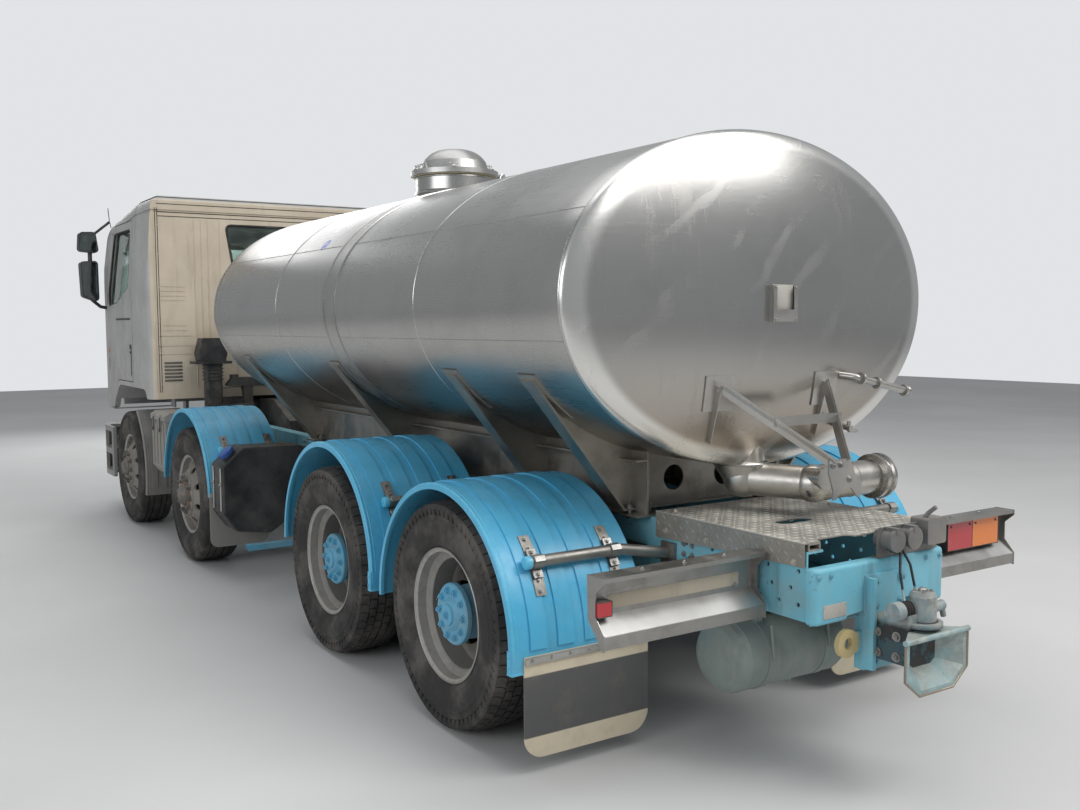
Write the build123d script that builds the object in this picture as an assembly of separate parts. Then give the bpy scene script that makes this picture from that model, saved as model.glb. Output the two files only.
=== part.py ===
from build123d import *
import os
from math import cos, hypot, radians, sin

# Eight-wheel rigid tanker truck, in millimetres.
# +X is forward, +Y is the truck's left, +Z is up, and the tyres stand on Z = 0.
# X is measured from a station 2830 ahead of the last axle. The finished pieces are moved
# by STATION_SHIFT, so that X = 0 lies halfway between the bumper and the coupling's mouth.
STATION_SHIFT = -70.0

# Driving dimensions of the whole vehicle
BUMPER_X = 4620.0
MOUTH_X = -4480.0
MIRROR_REACH = 1460.0

# Wheels: 295/80 R22.5 tyres on 22.5 inch rims
TYRE_R = 512.0
TYRE_HALF_WIDTH = 147.5
RIM_SEAT_R = 290.0
RIM_FLANGE_R = 298.5
WHEEL_Y = 1095.0
TWIN_SPACING = 335.0
KINGPIN_Y = 900.0
SPINDLE_R = 40.0
SPINDLE_GAP = 1.0

# name, x of the axle, twin wheels, steered
AXLES = (
    ("first", 3225.0, False, True),
    ("second", 1285.0, False, True),
    ("third", -1475.0, True, False),
    ("fourth", -2830.0, True, False),
)
AXLE_X = {name: x for name, x, twin, steered in AXLES}
SIDES = (("left", 1), ("right", -1))

# Chassis frame: two channel rails with crossmembers between them
RAIL_TOP = 930.0
RAIL_DEPTH = 270.0
RAIL_FLANGE = 90.0
RAIL_WEB = 9.0
RAIL_Y = 385.0
RAIL_FRONT = 4280.0
RAIL_REAR = -4170.0
RAIL_BOTTOM = RAIL_TOP - RAIL_DEPTH
CROSSMEMBER_X = (4090.0, 1000.0, 300.0, -600.0, -2150.0, -3500.0)

# Tank: an oval barrel with shallow dished ends
TANK_HALF_WIDTH = 1075.0
TANK_HALF_HEIGHT = 729.0
TANK_Z = 1896.0
TANK_REAR = -3538.0
TANK_FRONT = 1003.0
HEAD_DEPTH = 130.0
HEAD_KNUCKLE = 45.0
SADDLE_X = (-3130.0, -2450.0, -1030.0, 590.0)

# Manlid on its neck
MANLID_X = -760.0
NECK_R = 250.0
NECK_TOP = 2742.0
LID_HINGE_Y = -330.0
LID_HINGE_Z = 2770.0

# Rear deck, beam and lamp bars
DECK_FRONT = -3300.0
DECK_REAR = -4170.0
DECK_HALF_WIDTH = 400.0
DECK_TOP = 965.0
BEAM_REAR = -4215.0
BEAM_LOW = 650.0
BEAM_TOP = 868.0
LAMP_BAR_Y = (424.0, 1211.0)

# Cab
CAB_REAR = 2407.0
CAB_FRONT = 4530.0
CAB_HALF_WIDTH = 1215.0
CAB_FLOOR = 1170.0
CAB_ROOF = 2900.0
CAB_WALL = 50.0
TILT_X = 4420.0
TILT_Z = 880.0
DOOR_FRONT = 4010.0
DOOR_REAR = 3010.0
DOOR_TOP = 2740.0
DOOR_GAP = 8.0
GRILLE_HALF_WIDTH = 760.0
GRILLE_LOW = 1060.0
GRILLE_TOP = 1740.0


def outline(points, radius):
    """Closed wire through the points, with its corners rounded where a radius is given."""
    corners = [Vector(*point) for point in points]
    if radius:
        return Wire(FilletPolyline(*corners, radius=radius, close=True).edges())
    return Wire.make_polygon(corners, close=True)


def side_plate(points, y0, y1, radius=0):
    """Outline in the XZ plane, given thickness along Y."""
    wire = outline([(x, y0, z) for x, z in points], radius)
    return Solid.extrude(Face(wire), Vector(0, y1 - y0, 0))


def cross_plate(points, x0, x1, radius=0):
    """Outline in the YZ plane, given thickness along X."""
    wire = outline([(x0, y, z) for y, z in points], radius)
    return Solid.extrude(Face(wire), Vector(x1 - x0, 0, 0))


def flat_plate(points, z0, z1, radius=0):
    """Outline in the XY plane, given thickness along Z."""
    wire = outline([(x, y, z0) for x, y in points], radius)
    return Solid.extrude(Face(wire), Vector(0, 0, z1 - z0))


def block(x, y, z):
    """Box between the two limits given for each axis."""
    size = (x[1] - x[0], y[1] - y[0], z[1] - z[0])
    return Pos((x[0] + x[1]) / 2, (y[0] + y[1]) / 2, (z[0] + z[1]) / 2) * Box(*size)


def rod(start, end, radius):
    """Round bar from one point to another."""
    run = Vector(*end) - Vector(*start)
    return Solid.make_cylinder(radius, run.length, Plane(origin=start, z_dir=run))


def taper(start, end, radius0, radius1):
    """Round bar whose radius changes from its start to its end."""
    run = Vector(*end) - Vector(*start)
    return Solid.make_cone(radius0, radius1, run.length, Plane(origin=start, z_dir=run))


def ball(centre, radius):
    """Full ball."""
    return Pos(*centre) * Sphere(radius)


def tube(start, end, radius, wall):
    """Round tube with open ends."""
    return rod(start, end, radius) - rod(start, end, radius - wall)


def bent_rod(points, radius, bend):
    """Round bar along straight runs joined by arcs."""
    path = Wire(FilletPolyline(*[Vector(*point) for point in points], radius=bend).edges())
    section = Plane(origin=points[0], z_dir=Vector(*points[1]) - Vector(*points[0])) * Circle(radius)
    return sweep(section, path=path)


def flat_bar(start, end, width, thickness, face):
    """Flat bar between two points. Its broad side looks along the face direction."""
    run = Vector(*end) - Vector(*start)
    plane = Plane(origin=start, z_dir=run, x_dir=Vector(*face).cross(run))
    return plane * extrude(Rectangle(width, thickness), run.length)


def side_sweep(edges, y0, y1):
    """Closed outline of lines and arcs in the XZ plane, given thickness along Y."""
    wire = Wire([Pos(0, y0, 0) * edge for edge in edges])
    return Solid.extrude(Face(wire), Vector(0, y1 - y0, 0))


def turned_y(points, x, y, z):
    """Polygon of (offset along Y, radius) turned about a line along Y."""
    wire = Wire.make_polygon([Vector(x, y + a, z + r) for a, r in points], close=True)
    return revolve(Face(wire), Axis((x, y, z), (0, 1, 0)), 360)


def other_side(shape):
    """The same piece on the right-hand side."""
    return mirror(shape, about=Plane.XZ)


def on_side(shape, side):
    """Keep a left-hand piece, or give the right-hand one."""
    return shape if side > 0 else other_side(shape)


def pair(shape):
    """A left-hand piece and its right-hand twin."""
    return [shape, other_side(shape)]


def both(shape):
    """A piece fused with its mirror image."""
    return shape + other_side(shape)


def tyre(x, y):
    """Tyre with round sidewalls, shoulders and crown, centred on (x, y)."""
    bead = RIM_SEAT_R + 12
    corner = 100.0
    edges = [Edge.make_line((x, y + corner, TYRE_R + bead), (x, y + corner, TYRE_R + RIM_SEAT_R))]
    edges.append(Edge.make_line((x, y + corner, TYRE_R + RIM_SEAT_R), (x, y - corner, TYRE_R + RIM_SEAT_R)))
    edges.append(Edge.make_line((x, y - corner, TYRE_R + RIM_SEAT_R), (x, y - corner, TYRE_R + bead)))
    for side in (1, -1):
        edges.append(Edge.make_three_point_arc(
            (x, y + side * corner, TYRE_R + bead),
            (x, y + side * TYRE_HALF_WIDTH, TYRE_R + 395),
            (x, y + side * 140, TYRE_R + 470)))
        edges.append(Edge.make_three_point_arc(
            (x, y + side * 140, TYRE_R + 470),
            (x, y + side * 134, TYRE_R + 495),
            (x, y + side * 112, TYRE_R + 507)))
    edges.append(Edge.make_three_point_arc(
        (x, y + 112, TYRE_R + 507), (x, y, TYRE_R + TYRE_R), (x, y - 112, TYRE_R + 507)))
    return revolve(Face(Wire(edges)), Axis((x, y, TYRE_R), (0, 1, 0)), 360)


# Rim section from the outer flange to the inner one: offset along Y, radius
RIM_SECTION = (
    (118, RIM_FLANGE_R), (108, RIM_FLANGE_R), (100, RIM_SEAT_R), (62, RIM_SEAT_R),
    (45, 256), (-45, 256), (-62, RIM_SEAT_R), (-100, RIM_SEAT_R),
    (-108, RIM_FLANGE_R), (-118, RIM_FLANGE_R), (-118, 290), (-110, 280),
    (-66, 280), (-50, 246), (50, 246), (66, 280), (110, 280), (118, 290),
)


def round_holes(x, y0, y1, circle_r, hole_r, count):
    """Ring of holes along Y about the wheel centre."""
    holes = []
    for i in range(count):
        angle = radians(360.0 / count * (i + 0.5))
        hx = x + circle_r * cos(angle)
        hz = TYRE_R + circle_r * sin(angle)
        holes.append(rod((hx, y0, hz), (hx, y1, hz), hole_r))
    return holes


def front_rim(x):
    """Steered wheel: rim, bulged disc with hand holes, hub and brake drum."""
    rim = turned_y(RIM_SECTION, x, WHEEL_Y, TYRE_R)
    disc = turned_y(((58, 252), (86, 232), (134, 170), (148, 164), (148, 100), (134, 100),
                     (134, 156), (124, 162), (76, 226), (48, 252)), x, WHEEL_Y, TYRE_R)
    hub = turned_y(((-60, 60), (134, 60), (134, 112), (152, 112), (156, 92), (160, 88), (160, 0), (96, 0),
                    (96, SPINDLE_R + SPINDLE_GAP), (-60, SPINDLE_R + SPINDLE_GAP)), x, WHEEL_Y, TYRE_R)
    drum = turned_y(((-130, 205), (20, 205), (20, 60), (6, 60), (6, 190), (-130, 190)),
                    x, WHEEL_Y, TYRE_R)
    wheel = rim + disc + hub + drum
    return wheel - round_holes(x, WHEEL_Y + 40, WHEEL_Y + 150, 200, 24, 8)


def twin_rims(x):
    """Twin wheels: two dished rims back to back on one hub with its drum."""
    meet_y = WHEEL_Y - TWIN_SPACING / 2
    wheel = turned_y(RIM_SECTION, x, WHEEL_Y, TYRE_R)
    wheel += turned_y(RIM_SECTION, x, WHEEL_Y - TWIN_SPACING, TYRE_R)
    for side in (1, -1):
        wheel += turned_y(((0, 110), (0, 170), (side * 30, 196), (side * 112, 250), (side * 126, 250),
                           (side * 44, 186), (side * 14, 160), (side * 14, 110)), x, meet_y, TYRE_R)
    wheel += turned_y(((-16, 62), (-16, 168), (-28, 168), (-28, 210), (-190, 210), (-190, 194),
                       (-44, 194), (-44, 62)), x, meet_y, TYRE_R)
    wheel += turned_y(((-60, 62), (14, 62), (14, 0), (268, 0), (268, 58), (258, 70), (252, 76), (252, 132),
                       (246, 138), (226, 138), (214, 118), (60, 128), (30, 140), (-60, 140)),
                      x, meet_y, TYRE_R)
    return wheel - round_holes(x, meet_y + 20, meet_y + 110, 208, 26, 10)


def knuckle(x):
    """Steering knuckle: yoke, kingpin, stub spindle, back plate and steering arm."""
    pin = rod((x, KINGPIN_Y, TYRE_R - 105), (x, KINGPIN_Y, TYRE_R + 105), 24)
    arms = block((x - 45, x + 45), (KINGPIN_Y - 45, 958), (TYRE_R + 73, TYRE_R + 105))
    arms += block((x - 45, x + 45), (KINGPIN_Y - 45, 958), (TYRE_R - 105, TYRE_R - 73))
    back = rod((x, 954, TYRE_R), (x, 962, TYRE_R), 186)
    spindle = rod((x, 954, TYRE_R), (x, WHEEL_Y + 90, TYRE_R), SPINDLE_R)
    arm = side_plate(((x, TYRE_R - 105), (x, TYRE_R - 80), (x - 190, TYRE_R - 80),
                      (x - 190, TYRE_R - 105)), KINGPIN_Y - 45, KINGPIN_Y - 5)
    return pin + arms + back + spindle + arm


def front_axle(x):
    """Dropped beam with a fist at each end for the kingpin."""
    half = ((0, 370), (560, 370), (740, 455), (KINGPIN_Y - 40, 455), (KINGPIN_Y - 40, 570),
            (720, 570), (560, 470), (0, 470))
    full = half + tuple((-y, z) for y, z in reversed(half[1:-1]))
    beam = cross_plate(full, x - 48, x + 48)
    for side in (1, -1):
        fist = rod((x, side * KINGPIN_Y, 447), (x, side * KINGPIN_Y, 577), 48)
        beam += fist
        beam -= rod((x, side * KINGPIN_Y, 440), (x, side * KINGPIN_Y, 590), 25)
    return beam


def rear_axle(x):
    """Driven axle: banjo centre, arms and spindles for the hubs."""
    spindle_end = WHEEL_Y - TWIN_SPACING / 2 + 8
    axle = rod((x, -spindle_end, TYRE_R), (x, spindle_end, TYRE_R), 60)
    axle += rod((x, -700, TYRE_R), (x, 700, TYRE_R), 78)
    axle += rod((x - 130, 0, TYRE_R), (x + 130, 0, TYRE_R), 205)
    axle += taper((x + 130, 0, TYRE_R + 30), (x + 310, 0, TYRE_R + 60), 120, 70)
    axle += taper((x - 130, 0, TYRE_R), (x - 230, 0, TYRE_R), 110, 70)
    for side in (1, -1):
        axle += taper((x, side * 200, TYRE_R), (x, side * 420, TYRE_R), 120, 78)
        axle += rod((x, side * 700, TYRE_R), (x, side * 712, TYRE_R), 180)
    return axle


def leaf_spring(x, z_mid, half_length, rise):
    """Two parabolic leaves with rolled eyes and a clamp block over the axle, on the left."""
    leaves = block((x - 90, x + 90), (420, 510), (z_mid - 70, z_mid + 30))
    for drop in (0, 34):
        z = z_mid - drop
        upper = [(x - half_length, 0, z + rise), (x, 0, z), (x + half_length, 0, z + rise)]
        lower = [(px, 0, pz - 24) for px, _, pz in upper]
        leaves += side_sweep([
            Edge.make_three_point_arc(*upper), Edge.make_line(upper[2], lower[2]),
            Edge.make_three_point_arc(*lower), Edge.make_line(lower[0], upper[0])], 425, 505)
    for end in (x - half_length, x + half_length):
        leaves += rod((end, 425, z_mid + rise - 14), (end, 505, z_mid + rise - 14), 26)
        leaves += side_plate(((end - 50, z_mid + rise + 90), (end + 50, z_mid + rise + 90),
                              (end + 30, z_mid + rise - 40), (end - 30, z_mid + rise - 40)), RAIL_Y, 426)
    return leaves


def bogie_spring():
    """Leaf pack across both driven axles, on a trunnion bracket under the rail, on the left."""
    front_x, rear_x = AXLE_X["third"], AXLE_X["fourth"]
    mid_x = (front_x + rear_x) / 2
    seat = TYRE_R + 82
    pack = None
    for reach, low in ((690, 0), (620, -26), (500, -52), (360, -78)):
        drop = 96 * (reach / 690) ** 2
        ends = seat + 70 + low
        upper = [(mid_x - reach, 0, ends + 96 - drop), (mid_x, 0, ends + 96),
                 (mid_x + reach, 0, ends + 96 - drop)]
        lower = [(px, 0, pz - 26) for px, _, pz in upper]
        leaf = side_sweep([
            Edge.make_three_point_arc(*upper), Edge.make_line(upper[2], lower[2]),
            Edge.make_three_point_arc(*lower), Edge.make_line(lower[0], upper[0])], 430, 510)
        pack = leaf if pack is None else pack + leaf
    for axle in (front_x, rear_x):
        pack += block((axle - 60, axle + 60), (420, 520), (TYRE_R + 70, seat + 60)) - rod(
            (axle, 400, TYRE_R), (axle, 540, TYRE_R), 80)
    pack += block((mid_x - 85, mid_x + 85), (415, 525), (470, 800))
    pack += side_plate(((mid_x - 45, 890), (mid_x + 45, 890), (mid_x + 45, 700), (mid_x + 85, 660),
                        (mid_x + 80, 470), (mid_x - 80, 470), (mid_x - 85, 660), (mid_x - 45, 700)),
                       RAIL_Y, 415)
    return pack


# Rows of holes left in the rail webs behind the last axle: height, first x, pitch, count
RAIL_HOLES = ((720.0, -4130.0, 100.0, 8), (780.0, -4090.0, 100.0, 7), (850.0, -4130.0, 160.0, 5))


def chassis_frame():
    """Two channel rails, open side inwards, riveted to channel crossmembers."""
    rail = block((RAIL_REAR, RAIL_FRONT), (RAIL_Y - RAIL_FLANGE, RAIL_Y), (RAIL_BOTTOM, RAIL_TOP))
    rail -= block((RAIL_REAR - 1, RAIL_FRONT + 1), (RAIL_Y - RAIL_FLANGE - 1, RAIL_Y - RAIL_WEB),
                  (RAIL_BOTTOM + RAIL_WEB, RAIL_TOP - RAIL_WEB))
    holes = []
    for z, first, pitch, count in RAIL_HOLES:
        holes += [rod((first + i * pitch, RAIL_Y - 20, z), (first + i * pitch, RAIL_Y + 5, z), 9)
                  for i in range(count)]
    rail -= holes
    frame = rail + other_side(rail)
    inner = RAIL_Y - RAIL_WEB
    for x in CROSSMEMBER_X:
        member = block((x - 45, x + 45), (-inner, inner), (RAIL_TOP - 150, RAIL_TOP - 20))
        member -= block((x - 37, x + 46), (-inner + 8, inner - 8), (RAIL_TOP - 142, RAIL_TOP - 28))
        frame += member
    return frame


def tank_oval(grow, x0, x1):
    """Oval bar of the barrel's section, larger by a margin."""
    oval = Ellipse(TANK_HALF_WIDTH + grow, TANK_HALF_HEIGHT + grow)
    return Pos(x0, 0, TANK_Z) * (Plane.YZ * extrude(oval, x1 - x0))


def tank_shell():
    """Oval barrel and dished ends with a welded rim, and the open neck of the manlid."""
    r = TANK_HALF_HEIGHT
    crown = r - HEAD_KNUCKLE * 1.6
    wire = Wire([
        Edge.make_line((TANK_REAR - HEAD_DEPTH, 0, 0), (TANK_FRONT + HEAD_DEPTH, 0, 0)),
        Edge.make_three_point_arc((TANK_FRONT + HEAD_DEPTH, 0, 0),
                                  (TANK_FRONT + HEAD_DEPTH * 0.79, 0, crown * 0.55),
                                  (TANK_FRONT + HEAD_DEPTH * 0.30, 0, crown)),
        Edge.make_line((TANK_FRONT + HEAD_DEPTH * 0.30, 0, crown), (TANK_FRONT, 0, r)),
        Edge.make_line((TANK_FRONT, 0, r), (TANK_REAR, 0, r)),
        Edge.make_line((TANK_REAR, 0, r), (TANK_REAR - HEAD_DEPTH * 0.30, 0, crown)),
        Edge.make_three_point_arc((TANK_REAR - HEAD_DEPTH * 0.30, 0, crown),
                                  (TANK_REAR - HEAD_DEPTH * 0.79, 0, crown * 0.55),
                                  (TANK_REAR - HEAD_DEPTH, 0, 0)),
    ])
    body = revolve(Face(wire), Axis.X, 360)
    body = scale(body, by=(1, TANK_HALF_WIDTH / r, 1))
    return Pos(0, 0, TANK_Z) * body


def tank_neck(tank):
    """Open collar with a rolled rim on top of the barrel, and the lid's hinge ears."""
    neck = tube((MANLID_X, 0, TANK_Z + TANK_HALF_HEIGHT - 60), (MANLID_X, 0, NECK_TOP), NECK_R, 8)
    neck += tube((MANLID_X, 0, NECK_TOP - 14), (MANLID_X, 0, NECK_TOP), NECK_R + 8, 14)
    for offset_x in (-60, 60):
        x = MANLID_X + offset_x
        ear = cross_plate(((-240, 2660), (-240, 2722), (-296, 2738), (-318, 2786), (-346, 2786),
                           (-346, 2750), (-268, 2660)), x - 5, x + 5)
        neck += ear
    neck += rod((MANLID_X - 70, LID_HINGE_Y, LID_HINGE_Z), (MANLID_X + 70, LID_HINGE_Y, LID_HINGE_Z), 8)
    return neck - tank


def manlid():
    """Hat-shaped lid with a flanged brim, a domed crown and a hinge arm at its edge."""
    base = NECK_TOP + 6
    section = Wire([
        Edge.make_line((0, 0, base), (284, 0, base)),
        Edge.make_line((284, 0, base), (284, 0, base + 30)),
        Edge.make_line((284, 0, base + 30), (222, 0, base + 40)),
        Edge.make_line((222, 0, base + 40), (206, 0, base + 92)),
        Edge.make_three_point_arc((206, 0, base + 92), (150, 0, base + 148), (60, 0, base + 172)),
        Edge.make_line((60, 0, base + 172), (0, 0, base + 176)),
        Edge.make_line((0, 0, base + 176), (0, 0, base)),
    ])
    lid = Pos(MANLID_X, 0, 0) * revolve(Face(section), Axis.Z, 360)
    arm = block((MANLID_X - 40, MANLID_X + 40), (LID_HINGE_Y - 4, -250), (base + 6, base + 30))
    arm += rod((MANLID_X - 40, LID_HINGE_Y, LID_HINGE_Z), (MANLID_X + 40, LID_HINGE_Y, LID_HINGE_Z), 18)
    arm -= rod((MANLID_X - 80, LID_HINGE_Y, LID_HINGE_Z), (MANLID_X + 80, LID_HINGE_Y, LID_HINGE_Z), 8.5)
    return lid + arm


def tank_saddles():
    """Cross plates with sloped flanges and wear pads under the barrel, on two long bearers."""
    oval = tank_oval(0, -6000, 6000)
    pads = tank_oval(6, -6000, 6000) - oval
    slope = ((-960, 1560), (-470, 960), (470, 960), (960, 1560))
    bearer = block((-3250, 760), (400, 408), (RAIL_TOP + 8, 1300)) - oval
    bearer += block((-3250, 760), (408, 470), (1180, 1188)) - oval
    bearer += block((-3250, 760), (RAIL_Y - 75, 470), (RAIL_TOP, RAIL_TOP + 8))
    whole = both(bearer)
    for x in SADDLE_X:
        plate = cross_plate(slope, x - 5, x + 5)
        for y in (157, -157):
            plate -= rod((x - 10, y, 1075), (x + 10, y, 1075), 60)
        flange = cross_plate(((470, 960), (960, 1560), (968, 1552), (478, 952)), x - 45, x + 45)
        foot = block((x - 45, x + 45), (-482, 482), (RAIL_TOP + 22, RAIL_TOP + 30))
        whole += (plate + both(flange) + foot) - oval
        whole += both(pads & block((x - 70, x + 70), (760, 1040), (1390, 1580)))
        for y in (350, 400):
            whole += both(block((x - 45, x + 45), (y, y + 8), (RAIL_TOP + 8, RAIL_TOP + 22)))
    return whole


def outlet_pipe(tank):
    """Sump under the barrel, round hopper, and the outlet pipe with a sight port to the right."""
    hopper = taper((-3450, 50, 1225), (-3480, 45, 1108), 136, 88) + ball((-3480, 45, 1108), 91)
    reach = rod((-3480, 45, 1104), (OUTLET_X, -80, OUTLET_Z), 74)
    knee = ball((OUTLET_X, -80, OUTLET_Z), 82)
    pipe = rod((OUTLET_X, -80, OUTLET_Z), (OUTLET_X, OUTLET_END, OUTLET_Z), 76)
    collar = turned_y(((0, 70), (0, 102), (14, 102), (20, 92), (32, 92), (38, 100), (60, 100), (66, 70)),
                      OUTLET_X, OUTLET_END, OUTLET_Z)
    port = rod((OUTLET_X, -50, OUTLET_Z + 34), (OUTLET_X - 96, -50, OUTLET_Z + 34), 38)
    port += rod((OUTLET_X - 84, -50, OUTLET_Z + 34), (OUTLET_X - 96, -50, OUTLET_Z + 34), 46)
    body = hopper + reach + knee + pipe + collar + port
    body -= rod((OUTLET_X, OUTLET_END - 1, OUTLET_Z), (OUTLET_X, OUTLET_END + 200, OUTLET_Z), OUTLET_BORE_R)
    return body - tank


def stay_frame(tank):
    """A-shaped rest on the rear head: pads, slanted angle bars, a cross bar and a stirrup plate."""
    skin = Pos(-6, 0, 0) * tank - tank
    stirrup_x = -3985.0
    rest = cross_plate(((-20, 1236), (62, 1236), (62, 1180), (36, 1110), (36, 1070), (20, 1070),
                        (-20, 1112), (-72, 1112), (-112, 1070), (-130, 1070), (-130, 1130), (-95, 1170),
                        (-60, 1236)), stirrup_x - 4, stirrup_x + 4)
    for y, foot_y in ((330, 40), (-307, -45)):
        head_x = -3640.0
        pad = skin & block((-3700, -3540), (y - 78, y + 78), (1425, 1575))
        apex = (head_x - 12, y + 20, 1530)
        foot = (stirrup_x - 2, foot_y, 1222)
        arm = flat_bar(apex, foot, 46, 6, (0, 1, 0.2)) + flat_bar(apex, foot, 30, 6, (1, 0, 1))
        post = flat_bar((head_x - 6, y + 20, 1530), (head_x + 62, y + 20, 1290), 40, 6, (0, 1, 0))
        rest += (pad + arm + post) - tank
    return rest + block((-3826, -3820), (-195, 205), (1368, 1408))


def tank_fittings(tank):
    """Rest on the rear head, sample tap, small drain tap and the holder plate."""
    holder = block((-3694, -3655), (-60, 84), (1798, 1952))
    holder -= block((-3690, -3668), (-54, 78), (1806, 1960))
    holder -= block((-3700, -3686), (-40, 64), (1850, 1960))
    spout = bent_rod([(-3590, -400, 1556), (-3700, -440, 1545), (-3712, -600, 1508),
                      (-3712, -760, 1474)], 17, 45)
    for y, z in ((-455, 1541), (-560, 1517), (-752, 1476)):
        spout += flat_collar((-3712, y, z), 27, 14)
    drain = rod((-3560, -430, 1330), (-3680, -430, 1312), 14)
    drain += rod((-3665, -430, 1300), (-3665, -430, 1345), 9)
    drain += rod((-3665, -490, 1296), (-3665, -430, 1300), 6)
    return [stay_frame(tank), holder - tank, spout - tank, drain - tank]


def flat_collar(centre, radius, thickness):
    """Clamp ring across a pipe that runs along Y."""
    x, y, z = centre
    return rod((x, y - thickness / 2, z), (x, y + thickness / 2, z), radius)


# Outlet pipe axis and end
OUTLET_X = -3775.0
OUTLET_Z = 1103.0
OUTLET_END = -510.0
OUTLET_BORE_R = 68.0


def arc_band(x, z, r_in, r_out, y0, y1, start, end):
    """Part of a ring about a line along Y, between two angles from +X."""
    ring = rod((x, y0, z), (x, y1, z), r_out) - rod((x, y0 - 1, z), (x, y1 + 1, z), r_in)
    reach = r_out * 1.6
    wedge = [(x, z)]
    steps = max(2, int((end - start) / 30) + 1)
    for i in range(steps + 1):
        angle = radians(start + (end - start) * i / steps)
        wedge.append((x + reach * cos(angle), z + reach * sin(angle)))
    return ring & side_plate(wedge, y0 - 2, y1 + 2)


# Raised ribs on a guard, as parts of its width from the outer lip inwards
GUARD_RIBS = ((0.13, 0.25), (0.33, 0.45), (0.53, 0.65), (0.73, 0.85))


def ribbed_guard(x, z, radius, y0, y1, start, end):
    """Arched guard over a wheel: skin, rolled outer lip, turned-down inner edge and raised ribs."""
    guard = arc_band(x, z, radius - 6, radius, y0, y1 - 14, start, end)
    guard += arc_band(x, z, radius - 26, radius - 4, y1 - 14, y1, start, end)
    guard += arc_band(x, z, radius - 18, radius - 2, y1 - 26, y1 - 8, start, end)
    guard += arc_band(x, z, radius - 20, radius - 2, y0, y0 + 8, start, end)
    span = y1 - y0
    for near, far in GUARD_RIBS:
        guard += arc_band(x, z, radius - 4, radius + 7, y1 - far * span, y1 - near * span, start + 6, end - 6)
    return guard


# x of the arch, height of its centre, outer radius, start and end angle from +X
REAR_GUARDS = ((-1505.0, 545.0, 618.0, 0.0, 184.0), (-2830.0, 482.0, 618.0, 0.0, 184.0))
SECOND_GUARD = (1300.0, 525.0, 640.0, 4.0, 176.0)
FIRST_GUARD = (3225.0, 512.0, 668.0, 125.0, 196.0)
GUARD_INNER_Y = 585.0
GUARD_OUTER_Y = 1248.0
GUARD_RIB = 7.0


def rear_guards():
    """Guards over the driven wheels, each with a foot block at the low end of its lip."""
    made = []
    for x, z, r, start, end in REAR_GUARDS:
        guard = ribbed_guard(x, z, r, GUARD_INNER_Y, GUARD_OUTER_Y, start, end)
        guard += block((x - r - 2, x - r + 34), (1196, GUARD_OUTER_Y + 2), (z - 62, z + 26))
        made += pair(guard)
    return made


def front_guards():
    """Guards over the second axle's wheels and the rear halves over the first axle's."""
    x, z, r, start, end = SECOND_GUARD
    made = pair(ribbed_guard(x, z, r, 700, 1245, start, end))
    x, z, r, start, end = FIRST_GUARD
    half = ribbed_guard(x, z, r, 860, 1240, start, end)
    made += pair(half)
    return made


TUBE_R = 25.0
# Guard tubes: guard, outward angle, the two clamps' distances from the centreline
GUARD_TUBES = (
    (REAR_GUARDS[0], 33.0, (700.0, 1085.0)),
    (REAR_GUARDS[0], 147.0, (700.0, 1085.0)),
    (REAR_GUARDS[1], 33.0, (700.0, 1085.0)),
    (REAR_GUARDS[1], 147.0, (700.0, 1085.0)),
    (SECOND_GUARD, 33.0, (760.0, 1085.0)),
    (SECOND_GUARD, 147.0, (760.0, 1085.0)),
    (FIRST_GUARD, 150.0, (920.0, 1085.0)),
)


def guard_brackets():
    """Bent galvanised tubes from the rails, with saddle clamps and straps on the guards."""
    made = []
    for (x, z, r, _, _), angle, clamps in GUARD_TUBES:
        strap_r = r + GUARD_RIB
        out = strap_r + 5 + TUBE_R
        tx = x + out * cos(radians(angle))
        tz = z + out * sin(radians(angle))
        arm = bent_rod([(tx, 1122, tz), (tx, 668, tz), (tx, RAIL_Y + 14, tz - 48)], TUBE_R, 110)
        arm += block((tx - 45, tx + 45), (RAIL_Y, RAIL_Y + 16), (tz - 102, tz - 2))
        for y in clamps:
            arm += rod((tx, y - 25, tz), (tx, y + 25, tz), TUBE_R + 4)
            arm += arc_band(x, z, strap_r + 0.5, strap_r + 5, y - 25, y + 25, angle - 12, angle + 12)
        made += pair(arm)
    return made


def mudflaps():
    """Flaps with rounded lower corners behind the last and the second axle."""
    made = pair(cross_plate(((571, 62), (1195, 62), (1195, 479), (571, 479)), -3456, -3448,
                            (90, 90, 6, 6)))
    made += pair(cross_plate(((820, 208), (1245, 208), (1245, 600), (820, 600)), 646, 654, (60, 60, 6, 6)))
    return made


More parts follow.
